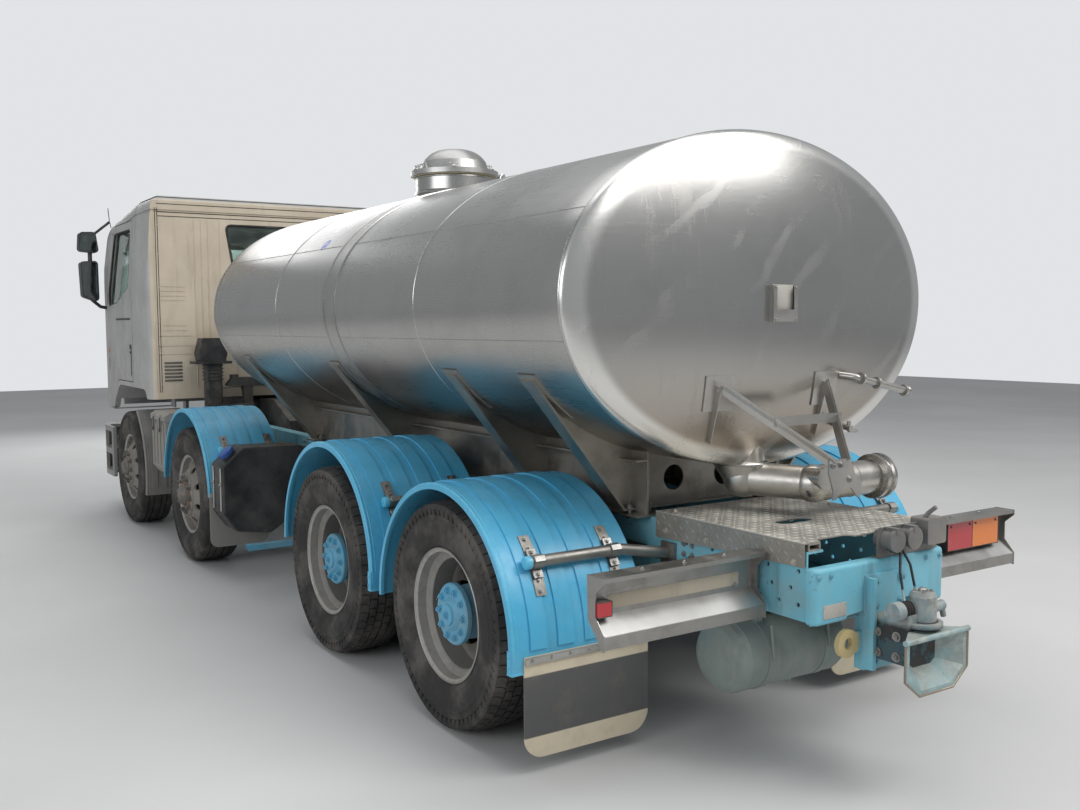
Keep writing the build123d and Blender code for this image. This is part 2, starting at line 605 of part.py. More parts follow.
def rear_crossmember():
    """Pressed beam across the frame's end, coupling plate with its rib, and the tow ring."""
    beam = block((BEAM_REAR, RAIL_REAR), (-386, 386), (BEAM_LOW, BEAM_TOP))
    beam = fillet(beam.edges().filter_by(Axis.Z).group_by(Axis.X)[0], 30)
    rear_rim = [edge for edge in beam.edges().filter_by(Axis.Y) if edge.center().X < BEAM_REAR + 2]
    beam = fillet(rear_rim, 16)
    beam -= cross_plate(((-190, BEAM_LOW - 5), (225, BEAM_LOW - 5), (205, BEAM_LOW + 20),
                         (-165, BEAM_LOW + 45)),
                        BEAM_REAR - 5, RAIL_REAR + 5)
    plate = cross_plate(((-112, 437), (107, 437), (107, 815), (-112, 815)), BEAM_REAR - 12, BEAM_REAR + 2, 18)
    plate += block((BEAM_REAR - 44, BEAM_REAR - 10), (88, 107), (445, 806))
    plate += cross_plate(((-112, 437), (107, 437), (107, 660), (-112, 660)), RAIL_REAR - 8, RAIL_REAR + 2)
    for y in (-112, 92):
        plate += block((BEAM_REAR - 2, RAIL_REAR + 2), (y, y + 15), (437, 700))
    ring_x = BEAM_REAR + 12
    ring = rod((ring_x, TOW_RING_Y, TOW_RING_Z), (ring_x + 22, TOW_RING_Y, TOW_RING_Z), 56)
    ring += block((ring_x, ring_x + 22), (100, TOW_RING_Y), (TOW_RING_Z - 40, TOW_RING_Z + 40))
    ring -= rod((ring_x - 5, TOW_RING_Y, TOW_RING_Z), (ring_x + 30, TOW_RING_Y, TOW_RING_Z), TOW_RING_R)
    return beam + plate + ring


TOW_RING_Y = 182.0
TOW_RING_Z = 551.0
TOW_RING_R = 24.0


def tow_coupling():
    """Drawbar coupling head: body with a pin tower, side spring housing, hand lever and two cables."""
    body = block((-4400, BEAM_REAR - 13), (-95, 84), (486, 662))
    body = fillet(body.edges().filter_by(Axis.X), 22)
    neck = flat_plate(((-4400, -78), (-4300, -92), (-4300, 92), (-4400, 78)), 636, 690, 10)
    tower = rod((-4385, -20, 642), (-4385, -20, 752), 52)
    tower += taper((-4385, -20, 752), (-4385, -20, 770), 52, 42)
    spring = rod((-4370, 20, 706), (-4370, 128, 706), 26) + rod((-4370, 96, 706), (-4370, 140, 706), 36)
    lever = rod((-4400, -40, 700), (-4400, -118, 706), 20) + rod((-4400, -112, 706), (-4400, -128, 660), 11)
    flange = rod((-4385, -12, 640), (-4385, -12, 656), 80)
    cables = bent_rod([(-4208, -76, 896), (-4246, -76, 896), (-4296, -58, 850), (-4344, -34, 748)], 5, 12)
    cables += bent_rod([(-4208, -54, 888), (-4252, -54, 888), (-4310, 20, 830), (-4366, 60, 722)], 5, 12)
    return body + neck + tower + spring + lever + flange + cables


def coupling_funnel():
    """Flared catch mouth: an open hollow taper with a rolled upper lip."""
    throat_x = -4400.0
    mouth = ((-188, 622), (188, 622), (188, 470), (100, 400), (-100, 400), (-188, 470))
    throat = ((-84, 628), (84, 628), (84, 500), (56, 482), (-56, 482), (-84, 500))
    outer = loft_between(throat, throat_x, mouth, MOUTH_X + 12, 0)
    inner = loft_between(throat, throat_x + 4, mouth, MOUTH_X - 4, 9)
    shell = outer - inner
    lip = rod((MOUTH_X + 11, -188, 619), (MOUTH_X + 11, 188, 619), 11)
    return shell + lip


def loft_between(points0, x0, points1, x1, inset):
    """Solid taper between two outlines across the truck, both drawn in by an inset."""
    wires = []
    for points, x in ((points0, x0), (points1, x1)):
        mid_z = (max(z for y, z in points) + min(z for y, z in points)) / 2
        half_y = max(y for y, z in points)
        half_z = max(z for y, z in points) - mid_z
        k_y = (half_y - inset) / half_y
        k_z = (half_z - inset) / half_z
        wires.append(outline([(x, y * k_y, mid_z + (z - mid_z) * k_z) for y, z in points], 0))
    return Solid.make_loft(wires, True)


def rear_deck():
    """Tread plate top in two panels with hand holes and side skirts, on packers over the rails."""
    top = DECK_TOP
    deck = flat_plate(((DECK_REAR, -DECK_HALF_WIDTH), (DECK_FRONT, -DECK_HALF_WIDTH),
                       (DECK_FRONT, DECK_HALF_WIDTH), (DECK_REAR, DECK_HALF_WIDTH)), top - 5, top)
    deck -= block((DECK_REAR - 1, DECK_FRONT + 1), (58, 62), (top - 6, top + 1))
    deck += block((DECK_REAR, DECK_FRONT), (50, 70), (top - 11, top - 5))
    for x, y in ((-3818, 83), (DECK_REAR, 216)):
        slot = flat_plate(((x - 34, y - 95), (x + 34, y - 95), (x + 34, y + 95), (x - 34, y + 95)),
                          top - 12, top + 1, 33)
        deck -= slot
    skirt = side_plate(((DECK_REAR, 872), (DECK_FRONT, 850), (DECK_FRONT, top), (DECK_REAR, top)),
                       DECK_HALF_WIDTH - 4, DECK_HALF_WIDTH)
    packer = block((DECK_REAR, DECK_FRONT), (310, 376), (RAIL_TOP, top - 5))
    packer -= block((DECK_REAR - 1, DECK_FRONT + 1), (316, 370), (RAIL_TOP + 6, top - 11))
    return deck + both(skirt) + both(packer)


# Folded section of a lamp bar: x, height
LAMP_BAR_SECTION = (
    (-3900, 905), (-3995, 905), (-3995, 889), (-3991, 889), (-3991, 901), (-3924, 901), (-3924, 754),
    (-3999, 698), (-3999, 652), (-3995, 652), (-3995, 696), (-3920, 752), (-3920, 901), (-3900, 901),
)
LAMP_BAR_END = (
    (-3900, 906), (-3997, 906), (-3997, 882), (-3950, 842), (-3950, 762), (-4001, 704), (-4001, 646),
    (-3992, 646), (-3904, 745),
)


def lamp_bars():
    """Folded stainless bars beside the frame's end, with end plates and a fixing lug."""
    y0, y1 = LAMP_BAR_Y
    bar = side_plate(LAMP_BAR_SECTION, y0, y1)
    for y in (y0, y1 - 4):
        bar += side_plate(LAMP_BAR_END, y, y + 4)
    bar += block((-3926, -3900), (RAIL_Y + 3, y0), (700, 850))
    bar += block((-3926, -3820), (RAIL_Y, RAIL_Y + 5), (700, 840))
    return pair(bar)


# Lenses on the right lamp bar: inner and outer distance from the centreline
TAIL_LENSES = ((754, 931), (935, 1128))
HEADLAMP = ((4300, 4640), (790, 1080), (480, 690))


def lamps():
    """Tail lenses on the right bar, one side marker on the left, and the two headlamps."""
    made = []
    for y0, y1 in TAIL_LENSES:
        lens = block((-3966, -3924.5), (-y1, -y0), (757, 884))
        made.append(fillet(lens.edges().filter_by(Axis.X).group_by(Axis.Z)[0], 5))
    made.append(block((-3966, -3924.5), (1150, 1206), (762, 812)))
    (x0, x1), (y0, y1), (z0, z1) = HEADLAMP
    return made + pair(block((x0, x1), (y0 + 1, y1 - 1), (z0 + 1, z1 - 1)) & bumper_skin(6))


def trailer_sockets():
    """Bracket over the beam with two round sockets and a box coupling with its lever."""
    x = BEAM_REAR + 8
    plate = cross_plate(((28, BEAM_TOP), (28, 988), (-340, 988), (-340, BEAM_TOP)), x, x + 6, 12)
    plate += block((x, x + 34), (-336, 24), (BEAM_TOP, BEAM_TOP + 6))
    for y in (-24, -130):
        plate += rod((x + 34, y, 940), (x - 44, y, 940), 38) + rod((x - 44, y, 940), (x - 58, y, 940), 45)
        plate += block((x - 60, x - 4), (y - 12, y + 12), (966, 990))
    box = block((x - 52, x + 34), (-330, -214), (900, 1006))
    box = fillet(box.edges().filter_by(Axis.X), 12)
    lever = bent_rod([(x - 10, -236, 996), (x - 24, -250, 1024), (x - 56, -256, 1052)], 9, 14)
    return plate + box + lever


def air_tank():
    """Domed air tank across the frame, held by two straps under a carrier plate."""
    x, z, r = -3830.0, 462.0, 150.0
    y0, length = -130.0, 682.0
    dome = ((0, 0), (0, 46), (10, 88), (30, 122), (54, 142), (82, r))
    whole = turned_y(dome + tuple((length - along, radius) for along, radius in reversed(dome)), x, y0, z)
    for y in (40, 360):
        whole += rod((x, y - 20, z), (x, y + 20, z), r + 3)
        whole += block((x - 70, x + 70), (y - 20, y + 20), (z + 120, RAIL_BOTTOM - 20))
    whole += block((x - 70, x + 70), (-380, 380), (RAIL_BOTTOM - 22, RAIL_BOTTOM))
    whole += rod((x, 120, z - r - 14), (x, 120, z - r + 10), 12)
    return whole


SMALL_TANK_X = (370.0, 642.0)
FUEL_TANK_X = (-600.0, 600.0)


def small_tank():
    """Moulded side tank with a chamfered shoulder, strap grooves, filler cap and carrier."""
    shape = ((640, 480), (900, 322), (1138, 358), (1228, 490), (1228, 820), (1085, 944), (640, 935))
    body = cross_plate(shape, SMALL_TANK_X[0], SMALL_TANK_X[1], 34)
    ends = [face for face in body.faces() if abs(face.normal_at().X) > 0.9]
    body = fillet([edge for face in ends for edge in face.edges()], 14)
    cap_axis = Vector(0, 0.62, 0.785)
    seat = Vector(450, 1152, 878)
    body += Solid.make_cylinder(52, 30, Plane(origin=seat, z_dir=cap_axis))
    body += Solid.make_cylinder(42, 52, Plane(origin=seat, z_dir=cap_axis))
    arms = block((400, 440), (RAIL_Y, 700), (700, 780)) + block((570, 610), (RAIL_Y, 700), (700, 780))
    return body + arms


def fuel_tank():
    """Long extruded tank on the right with rounded corners, end beads, straps and a filler cap."""
    shape = ((-560, 380), (-1215, 380), (-1215, 1000), (-560, 1000))
    tank = cross_plate(shape, FUEL_TANK_X[0], FUEL_TANK_X[1], (40, 110, 110, 40))
    grown = ((-556, 376), (-1219, 376), (-1219, 1004), (-556, 1004))
    for x in (FUEL_TANK_X[0] + 14, -330, 330, FUEL_TANK_X[1] - 40):
        width = 26 if abs(x) > 400 else 60
        tank += cross_plate(grown, x, x + width, (44, 114, 114, 44))
    for x in (-330, 330):
        tank += side_plate(((x, 880), (x + 60, 880), (x + 60, 420), (x, 420)), -560, -RAIL_Y)
    tank += rod((420, -1040, 1000), (420, -1040, 1046), 50)
    return tank


def step_boxes():
    """Battery box on each side between the steered axles, with a lid, ribs and lid straps."""
    x0, x1 = 1985.0, 2440.0
    box = cross_plate(((525, 560), (1160, 560), (1205, 620), (1205, 1010), (525, 1010)), x0, x1, 14)
    lid = cross_plate(((515, 1010), (1215, 1010), (1215, 1052), (1170, 1082), (515, 1082)), x0 - 8, x1 + 8, 8)
    for i in range(4):
        x = x0 + 60 + i * 105
        box += block((x, x + 40), (1150, 1213), (640, 985))
    for x in (x0 + 110, x1 - 130):
        lid += block((x, x + 24), (1213, 1221), (930, 1062))
    carrier = block((2125, 2230), (RAIL_Y, 560), (700, 756))
    return pair(box + lid + carrier)


def side_rest(x):
    """Channel bar across the side, low behind the small tank, on a drop arm from the rail."""
    bar = block((x - 30, x + 30), (560, 1215), (316, 352)) - block((x - 26, x + 26), (556, 1220), (312, 348))
    drop = side_plate(((x - 25, 700), (x + 25, 700), (x + 25, 348), (x - 25, 348)), 560, 568)
    return bar + drop + block((x - 25, x + 25), (RAIL_Y, 564), (690, 700))


def drivetrain():
    """Engine, gearbox and propeller shafts as plain masses at their places."""
    engine = block((2560, 3980), (-280, 280), (640, 1120))
    gearbox = side_plate(((1800, 720), (1800, 980), (2200, 1140), (2560, 1140), (2560, 640), (1960, 640)),
                         -220, 220)
    shaft = rod((1805, 0, 770), (AXLE_X["third"] + 332, 0, TYRE_R + 61), 52)
    between = rod((AXLE_X["third"] - 236, 0, TYRE_R), (AXLE_X["fourth"] + 332, 0, TYRE_R + 61), 45)
    return [engine + gearbox + shaft, between]


def air_intake():
    """Air duct up behind the cab with a bellows and a hooded inlet head, on the left."""
    duct = block((2200, 2310), (660, 800), (1088, 1500))
    duct = fillet(duct.edges().filter_by(Axis.Z), 26)
    for i in range(5):
        duct += flat_plate(((2192, 652), (2318, 652), (2318, 808), (2192, 808)),
                           1330 + i * 30, 1344 + i * 30, 26)
    head = cross_plate(((640, 1490), (850, 1490), (866, 1560), (830, 1690), (660, 1690), (624, 1560)),
                       2170, 2330, 12)
    tray = block((2160, 2345), (590, 900), (1470, 1492))
    foot = block((2200, 2236), (RAIL_Y, 800), (1088, 1116))
    foot += block((2200, 2236), (RAIL_Y, RAIL_Y + 12), (760, 1116))
    return duct + head + tray + foot


def cab_mounts():
    """Rear cab suspension: stands, arched cross beam, coil units, dampers and the front pivots."""
    beam = cross_plate(((-620, 1270), (620, 1270), (560, 1345), (-560, 1345)), 2235, 2325, 12)
    for y in (430, -430):
        side = 1 if y > 0 else -1
        stand = cross_plate(((side * RAIL_Y, 700), (side * (RAIL_Y + 14), 700), (side * 470, 1272),
                             (side * 390, 1272)), 2238, 2322)
        beam += stand
        beam += rod((2280, side * 540, 1345), (2280, side * 540, CAB_FLOOR + 200), 38)
    tilt = []
    for side in (1, -1):
        ear = side_plate(((4180, 700), (4300, 700), (4470, 780), (4470, TILT_Z + 30), (4380, TILT_Z + 30),
                          (4180, 830)), 336, RAIL_Y - RAIL_WEB)
        ear += rod((TILT_X, 336, TILT_Z), (TILT_X, 414, TILT_Z), 20)
        tilt.append(on_side(ear, side))
    return [beam] + tilt


def inset_points(points, inset):
    """Corner points of a closed outline, with every side drawn in by the inset."""
    area = sum(ax * by - bx * ay for (ax, ay), (bx, by) in zip(points, points[1:] + points[:1]))
    turn = 1 if area > 0 else -1
    sides = []
    for (ax, ay), (bx, by) in zip(points, points[1:] + points[:1]):
        length = hypot(bx - ax, by - ay)
        nx, ny = -(by - ay) / length * turn, (bx - ax) / length * turn
        sides.append((ax + nx * inset, ay + ny * inset, bx - ax, by - ay))
    moved = []
    for (px, py, dx, dy), (qx, qy, ex, ey) in zip(sides[-1:] + sides[:-1], sides):
        k = ((qx - px) * ey - (qy - py) * ex) / (dx * ey - dy * ex)
        moved.append((px + dx * k, py + dy * k))
    return tuple(moved)


def eased(radii, inset):
    """Corner radii left after an outline is drawn in."""
    return tuple(max(r - inset, 0) for r in radii)


# Cab in side view, corner points with the radius at each
CAB_SIDE = (
    (CAB_REAR - 4, CAB_FLOOR), (CAB_REAR - 4, CAB_ROOF), (2950, CAB_ROOF), (3900, 2800), (4130, 2650),
    (4450, 1800), (CAB_FRONT, 1140), (CAB_FRONT, 1000), (3700, 1000), (3700, CAB_FLOOR),
)
CAB_SIDE_R = (0, 70, 0, 300, 120, 200, 200, 60, 0, 0)
CAB_PLAN = ((CAB_REAR, CAB_HALF_WIDTH), (CAB_FRONT + 10, CAB_HALF_WIDTH),
            (CAB_FRONT + 10, -CAB_HALF_WIDTH), (CAB_REAR, -CAB_HALF_WIDTH))
CAB_PLAN_R = (70, 440, 440, 70)
CAB_SECTION = ((1230, 800), (1230, 1900), (1165, CAB_ROOF + 3), (-1165, CAB_ROOF + 3), (-1230, 1900),
               (-1230, 800))
CAB_SECTION_R = (0, 0, 110, 110, 0, 0)
ROOF_FALL = Vector(950, 0, -100)
ROOF_BREAK_X = 2950.0


def cab_solid(inset):
    """Cab body as one solid: side view, plan and leaning-in section, drawn in by the inset."""
    side = side_plate(inset_points(CAB_SIDE, inset), -1400, 1400, eased(CAB_SIDE_R, inset))
    plan = flat_plate(inset_points(CAB_PLAN, inset), 700, 3200, eased(CAB_PLAN_R, inset))
    section = inset_points(CAB_SECTION, inset)
    rear = cross_plate(section, CAB_REAR - 300, ROOF_BREAK_X, eased(CAB_SECTION_R, inset))
    face = Face(outline([(ROOF_BREAK_X, y, z) for y, z in section], eased(CAB_SECTION_R, inset)))
    front = Solid.extrude(face, ROOF_FALL * 2.2)
    return side & plan & (rear + front)


def skin(depth0, depth1):
    """Layer of the cab's wall between two depths from its outer surface."""
    return cab_solid(depth0) - cab_solid(depth1)


DOOR_OUTLINE = ((DOOR_REAR, 1290), (DOOR_REAR, DOOR_TOP), (3830, DOOR_TOP), (DOOR_FRONT, 2140),
                (DOOR_FRONT, 1010), (3860, 1010), (3660, 1290))
DOOR_R = (60, 60, 60, 200, 40, 60, 120)
SIDE_WINDOW = ((3140, 2150), (3125, 2660), (3795, 2660), (3960, 2110), (3960, 1985), (3560, 2015))
SIDE_WINDOW_R = (40, 40, 40, 120, 40, 300)
REAR_WINDOW = ((-540, 2668), (540, 2668), (470, 2230), (-470, 2230))
WINDSCREEN = ((-1060, 1870), (1060, 1870), (985, 2590), (-985, 2590))
GUTTERS = (2752.0, 2864.0)
GUTTER_HEIGHT = 24.0


def door_solid(gap, y0, y1):
    """Prism of the door's outline in side view, drawn in by the gap."""
    return side_plate(inset_points(DOOR_OUTLINE, gap), y0, y1, eased(DOOR_R, gap))


def window_solid(inset, y0, y1):
    """Prism of the side window's outline, drawn in by the inset."""
    return side_plate(inset_points(SIDE_WINDOW, inset), y0, y1, eased(SIDE_WINDOW_R, inset))


def arch_room(grow):
    """Room for the steered wheel under the cab's left side."""
    return side_plate(((2500 - grow, 900), (2500 - grow, 1100), (2590 - grow, 1250 + grow),
                       (3620 + grow, 1250 + grow), (3870 + grow, 1040), (3870 + grow, 900)),
                      690 - grow, 1300, (0, 90, 140, 240, 80, 0))


# Grooves pressed in the rear wall: outer and inner distance from the centreline, height, width
WALL_GROOVES = (
    (910, 1107, 2124, 9), (910, 1107, 2085, 9), (910, 1107, 2045, 9), (910, 1107, 2006, 9),
    (900, 1090, 1793, 9), (900, 1090, 1751, 9), (850, 1134, 1703, 12), (850, 1134, 1619, 12),
    (850, 1134, 1547, 12),
)
# Upright ribs of the rear wall: distance from the centreline
WALL_RIBS = (1152.0, 817.0, 760.0, 702.0, 600.0)


def cab_shell():
    """Hollow cab with its door, window and windscreen openings, gutters and pressed grooves."""
    outer = cab_solid(0)
    shell = outer - cab_solid(CAB_WALL)
    inner_y = CAB_HALF_WIDTH - CAB_WALL
    shell -= block((3640, CAB_FRONT - CAB_WALL), (-inner_y, inner_y), (900, CAB_FLOOR))
    shell += block((3700, CAB_FRONT - CAB_WALL), (-800, 800), (CAB_FLOOR, CAB_FLOOR + CAB_WALL))
    shell += both(arch_room(14) & outer)
    shell -= both(arch_room(0))
    shell -= door_solid(0, -1400, 1400)
    shell -= cross_plate(REAR_WINDOW, CAB_REAR - 10, CAB_REAR + 100, 50)
    shell -= cross_plate(WINDSCREEN, 4000, 4700, 90)
    edge_layer = outer - cab_solid(9)
    for z in GUTTERS:
        top = z + GUTTER_HEIGHT
        shell -= edge_layer & side_plate(((2300, z), (ROOF_BREAK_X, z), (3900, z - 100), (3900, top - 100),
                                          (ROOF_BREAK_X, top), (2300, top)), -1400, 1400)
    for y0, y1, z, width in WALL_GROOVES:
        shell -= both(block((CAB_REAR - 1, CAB_REAR + 4), (y0, y1), (z - width / 2, z + width / 2)))
    for y in WALL_RIBS:
        shell -= both(block((CAB_REAR - 1, CAB_REAR + 3), (y - 5, y + 5), (1240, 2700)))
    lug = side_plate(((4360, 1010), (4360, 900), (4390, 850), (4450, 850), (4480, 900), (4480, 1010)),
                     380, 410)
    lug -= rod((TILT_X, 370, TILT_Z), (TILT_X, 420, TILT_Z), 20.5)
    return shell + both(lug)


def cab_glass():
    """Windscreen and rear window."""
    screen = skin(20, 26) & cross_plate(inset_points(WINDSCREEN, 1.5), 4000, 4700, 88)
    rear = cross_plate(inset_points(REAR_WINDOW, 1.5), CAB_REAR + 20, CAB_REAR + 26, 48)
    return [screen, rear]


def door():
    """Left-hand door following the cab's side, with its window cut through and a grip recess."""
    panel = skin(0, CAB_WALL) & door_solid(DOOR_GAP, 1000, 1400)
    panel -= window_solid(0, 1000, 1400)
    panel -= block((3640, CAB_FRONT), (900, CAB_HALF_WIDTH - CAB_WALL), (900, CAB_FLOOR + CAB_WALL + 4))
    y = CAB_HALF_WIDTH
    panel -= side_plate(((3078, 1346), (3128, 1346), (3112, 1608), (3062, 1608)), y - 24, y + 5, 16)
    return panel


def door_glass():
    """Side window pane, following the door's lean."""
    return skin(22, 27) & window_solid(1.5, 1000, 1400)


def grille():
    """Hinged front flap with five rounded slots between its bars, on a closed back."""
    x0, x1 = CAB_FRONT + 2, CAB_FRONT + 30
    panel = cross_plate(((-GRILLE_HALF_WIDTH, GRILLE_LOW), (GRILLE_HALF_WIDTH, GRILLE_LOW),
                         (GRILLE_HALF_WIDTH, GRILLE_TOP), (-GRILLE_HALF_WIDTH, GRILLE_TOP)), x0, x1, 60)
    for i in range(5):
        z = GRILLE_LOW + 90 + i * 104
        for side in (1, -1):
            slot = cross_plate(((side * 30, z), (side * 690, z), (side * 690, z + 62), (side * 30, z + 62)),
                               x0 + 8, x1 + 1, 28)
            panel -= slot
    return panel


def mirrors():
    """Upper and lower mirror heads on their arms, and the visor over the windscreen."""
    made = []
    head = cross_plate(((1276, 2496), (1304, 2700), (1448, 2694), (MIRROR_REACH, 2512)), 4010, 4120, 34)
    head += cross_plate(((1290, 2022), (1292, 2424), (1452, 2414), (1440, 2078)), 4000, 4115, 34)
    head += rod((4060, 1352, 2400), (4060, 1352, 2520), 20)
    head += bent_rod([(4070, 1216, 1975), (4070, 1270, 1985), (4070, 1345, 2050)], 16, 26)
    head += flat_bar((4000, 1172, 2800), (4045, 1300, 2690), 90, 22, (0, 0.6, 0.8))
    made += pair(head - cab_solid(0))
    visor = side_plate(((4118, 2716), (4300, 2590), (4306, 2599), (4124, 2725)), -980, 980)
    for y in (-820, 0, 820):
        visor += side_plate(((4060, 2700), (4150, 2640), (4230, 2638), (4150, 2700)), y - 6, y + 6)
    made.append(visor - cab_solid(0))
    return made


def dashboard():
    """Dash with a raised hood before the driver, centre console and steering column."""
    dash = side_plate(((4060, 1480), (4040, 1700), (4180, 1800), (4470, 1830), (4490, 1480)), -1130, 1130,
                      (40, 60, 120, 20, 20))
    dash += side_plate(((4020, 1700), (4060, 1850), (4260, 1860), (4300, 1750)), -860, -380, 40)
    dash += side_plate(((3900, CAB_FLOOR + CAB_WALL), (3860, 1420), (4060, 1600), (4200, 1600),
                        (4200, CAB_FLOOR + CAB_WALL)), -190, 190, (0, 60, 60, 20, 0))
    dash = dash & cab_solid(CAB_WALL + 2)
    column_top = wheel_point(-26)
    return dash + rod(column_top, wheel_point(-345), 34)


WHEEL_CENTRE = Vector(3850, -620, 1900)
WHEEL_AXIS = Vector(-0.6, 0, 0.8)


def wheel_point(along):
    """Point on the steering wheel's axis, measured towards the driver."""
    point = WHEEL_CENTRE + WHEEL_AXIS * along
    return (point.X, point.Y, point.Z)


def steering_wheel():
    """Rim, four spokes and hub."""
    plane = Plane(origin=WHEEL_CENTRE, z_dir=WHEEL_AXIS)
    wheel = Solid.make_torus(225, 15, plane)
    wheel += rod(wheel_point(-18), wheel_point(18), 66)
    for angle in (20, 160, 200, 340):
        spoke = Pos(0, 0, -6) * (Rot(0, 0, angle) * (Pos(140, 0, 6) * Box(160, 34, 12)))
        wheel += plane * spoke
    return wheel


def seats():
    """Driver's and passenger's seats: cushion, back with head rest, and pedestal."""
    y = 620.0
    back = side_plate(((2860, 1560), (2790, 2180), (2830, 2420), (2900, 2420), (2960, 2180),
                       (3010, 1560)), y - 235, y + 235, (40, 200, 30, 30, 200, 40))
    seat = side_plate(((2960, 1430), (2960, 1560), (3440, 1610), (3450, 1470)), y - 250, y + 250,
                      (30, 30, 50, 40))
    foot = block((3010, 3380), (y - 160, 670), (CAB_FLOOR + CAB_WALL, 1440))
    return pair(back + seat + foot)


# Bumper in plan and in side view, corner points with the radius at each
BUMPER_PLAN = ((3700, 1235), (BUMPER_X, 1235), (BUMPER_X, -1235), (3700, -1235))
BUMPER_PLAN_R = (0, 430, 430, 0)
BUMPER_SIDE = ((3880, 340), (4540, 340), (BUMPER_X, 470), (BUMPER_X, 640), (4596, 825), (3880, 825))
BUMPER_SIDE_R = (20, 80, 120, 100, 50, 10)
BUMPER_WALL = 30.0


def bumper_form(inset):
    """Closed outer form of the bumper, drawn in by the inset."""
    plan = flat_plate(inset_points(BUMPER_PLAN, inset), 200, 1000, eased(BUMPER_PLAN_R, inset))
    side = side_plate(inset_points(BUMPER_SIDE, inset), -1400, 1400, eased(BUMPER_SIDE_R, inset))
    return plan & side


def bumper_skin(depth):
    """Layer of the bumper's wall, from the given depth to its inner face."""
    return bumper_form(depth) - bumper_form(BUMPER_WALL)


def bumper():
    """Bumper shell with lamp pockets, an air slot, step wells with treads, and brackets."""
    shell = bumper_form(0) - bumper_form(BUMPER_WALL)
    side_y = 1235 - BUMPER_WALL
    shell -= block((3800, 4200), (-side_y, side_y), (200, 1000))
    shell -= block((3800, 4500), (-1000, 1000), (200, 1000))
    for lamp in pair(block((4300, 4700), HEADLAMP[1], HEADLAMP[2])):
        shell -= lamp
    shell -= cross_plate(((-520, 400), (520, 400), (520, 520), (-520, 520)), 4450, 4700, 30)
    for z in (390, 610):
        shell -= both(side_plate(((3950, z), (4280, z), (4280, z + 165), (3950, z + 165)), 1150, 1300, 30))
        shell += both(block((3930, 4300), (1060, 1210), (z - 16, z)))
        shell += both(block((3930, 4300), (1060, 1066), (z - 16, z + 180)))
    return shell + both(block((4290, 4600), (300, 336), (680, 760)) & bumper_form(10))


TANK = tank_shell()
NODES = {
    "chassis_frame": chassis_frame(),
    "rear_crossmember": rear_crossmember(),
    "tow_coupling": tow_coupling(),
    "coupling_funnel": coupling_funnel(),
    "rear_deck": rear_deck(),
    "lamp_bars": lamp_bars(),
    "lamps": lamps(),
    "trailer_sockets": trailer_sockets(),
    "air_tank": air_tank(),
    "tank_shell": TANK + tank_neck(TANK),
    "tank_saddles": tank_saddles(),
    "outlet_pipe": outlet_pipe(TANK),
    "tank_fittings": tank_fittings(TANK),
    "rear_guards": rear_guards(),
    "front_guards": front_guards(),
    "guard_brackets": guard_brackets(),
    "mudflaps": mudflaps(),
    "small_tank": small_tank(),
    "side_rest": side_rest(-80),
    "fuel_tank": fuel_tank(),
    "step_boxes": step_boxes(),
    "drivetrain": drivetrain(),
    "air_intake": air_intake(),
    "cab_mounts": cab_mounts(),
    "bumper": bumper(),
    "front_axles": [front_axle(AXLE_X["first"]), front_axle(AXLE_X["second"])],
    "rear_axles": [rear_axle(AXLE_X["third"]), rear_axle(AXLE_X["fourth"])],
    "cab_shell": cab_shell(),
    "cab_glass": cab_glass(),
    "grille": grille(),
    "mirrors": mirrors(),
    "dashboard": dashboard(),
    "seats": seats(),
    "steering_wheel": steering_wheel(),
    "manlid": manlid(),
}
springs = []
for name in ("first", "second"):
    springs += pair(leaf_spring(AXLE_X[name], 540, 780, 130))
NODES["leaf_springs"] = springs + pair(bogie_spring())

for side_name, side in SIDES:
    NODES["door_" + side_name] = on_side(door(), side)
    NODES["door_glass_" + side_name] = on_side(door_glass(), side)
    for name, x, twin, steered in AXLES:
        if twin:
            NODES[f"tyres_{name}_{side_name}"] = [
                on_side(tyre(x, WHEEL_Y), side), on_side(tyre(x, WHEEL_Y - TWIN_SPACING), side)]
            NODES[f"rims_{name}_{side_name}"] = on_side(twin_rims(x), side)
        else:
            NODES[f"tyre_{name}_{side_name}"] = on_side(tyre(x, WHEEL_Y), side)
            NODES[f"rim_{name}_{side_name}"] = on_side(front_rim(x), side)
        if steered:
            NODES[f"knuckle_{name}_{side_name}"] = on_side(knuckle(x), side)


def solids_of(shape):
    """All the solids of a piece or of a list of pieces."""
    if isinstance(shape, (list, tuple)):
        return [solid for piece in shape for solid in solids_of(piece)]
    return list(shape.solids())


os.makedirs("parts", exist_ok=True)
for node, shape in NODES.items():
    solids = [Pos(STATION_SHIFT, 0, 0) * solid for solid in solids_of(shape)]
    export_step(solids[0] if len(solids) == 1 else Compound(solids), f"parts/{node}.step")
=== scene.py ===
import logging
from dataclasses import dataclass
from enum import Enum
from functools import cached_property
from math import atan2, cos, pi, radians, sin
from typing import Iterable, Sequence

import bmesh
import bpy
from bpy.types import Material, Node, NodeSocket, Object
from mathutils import Matrix, Vector


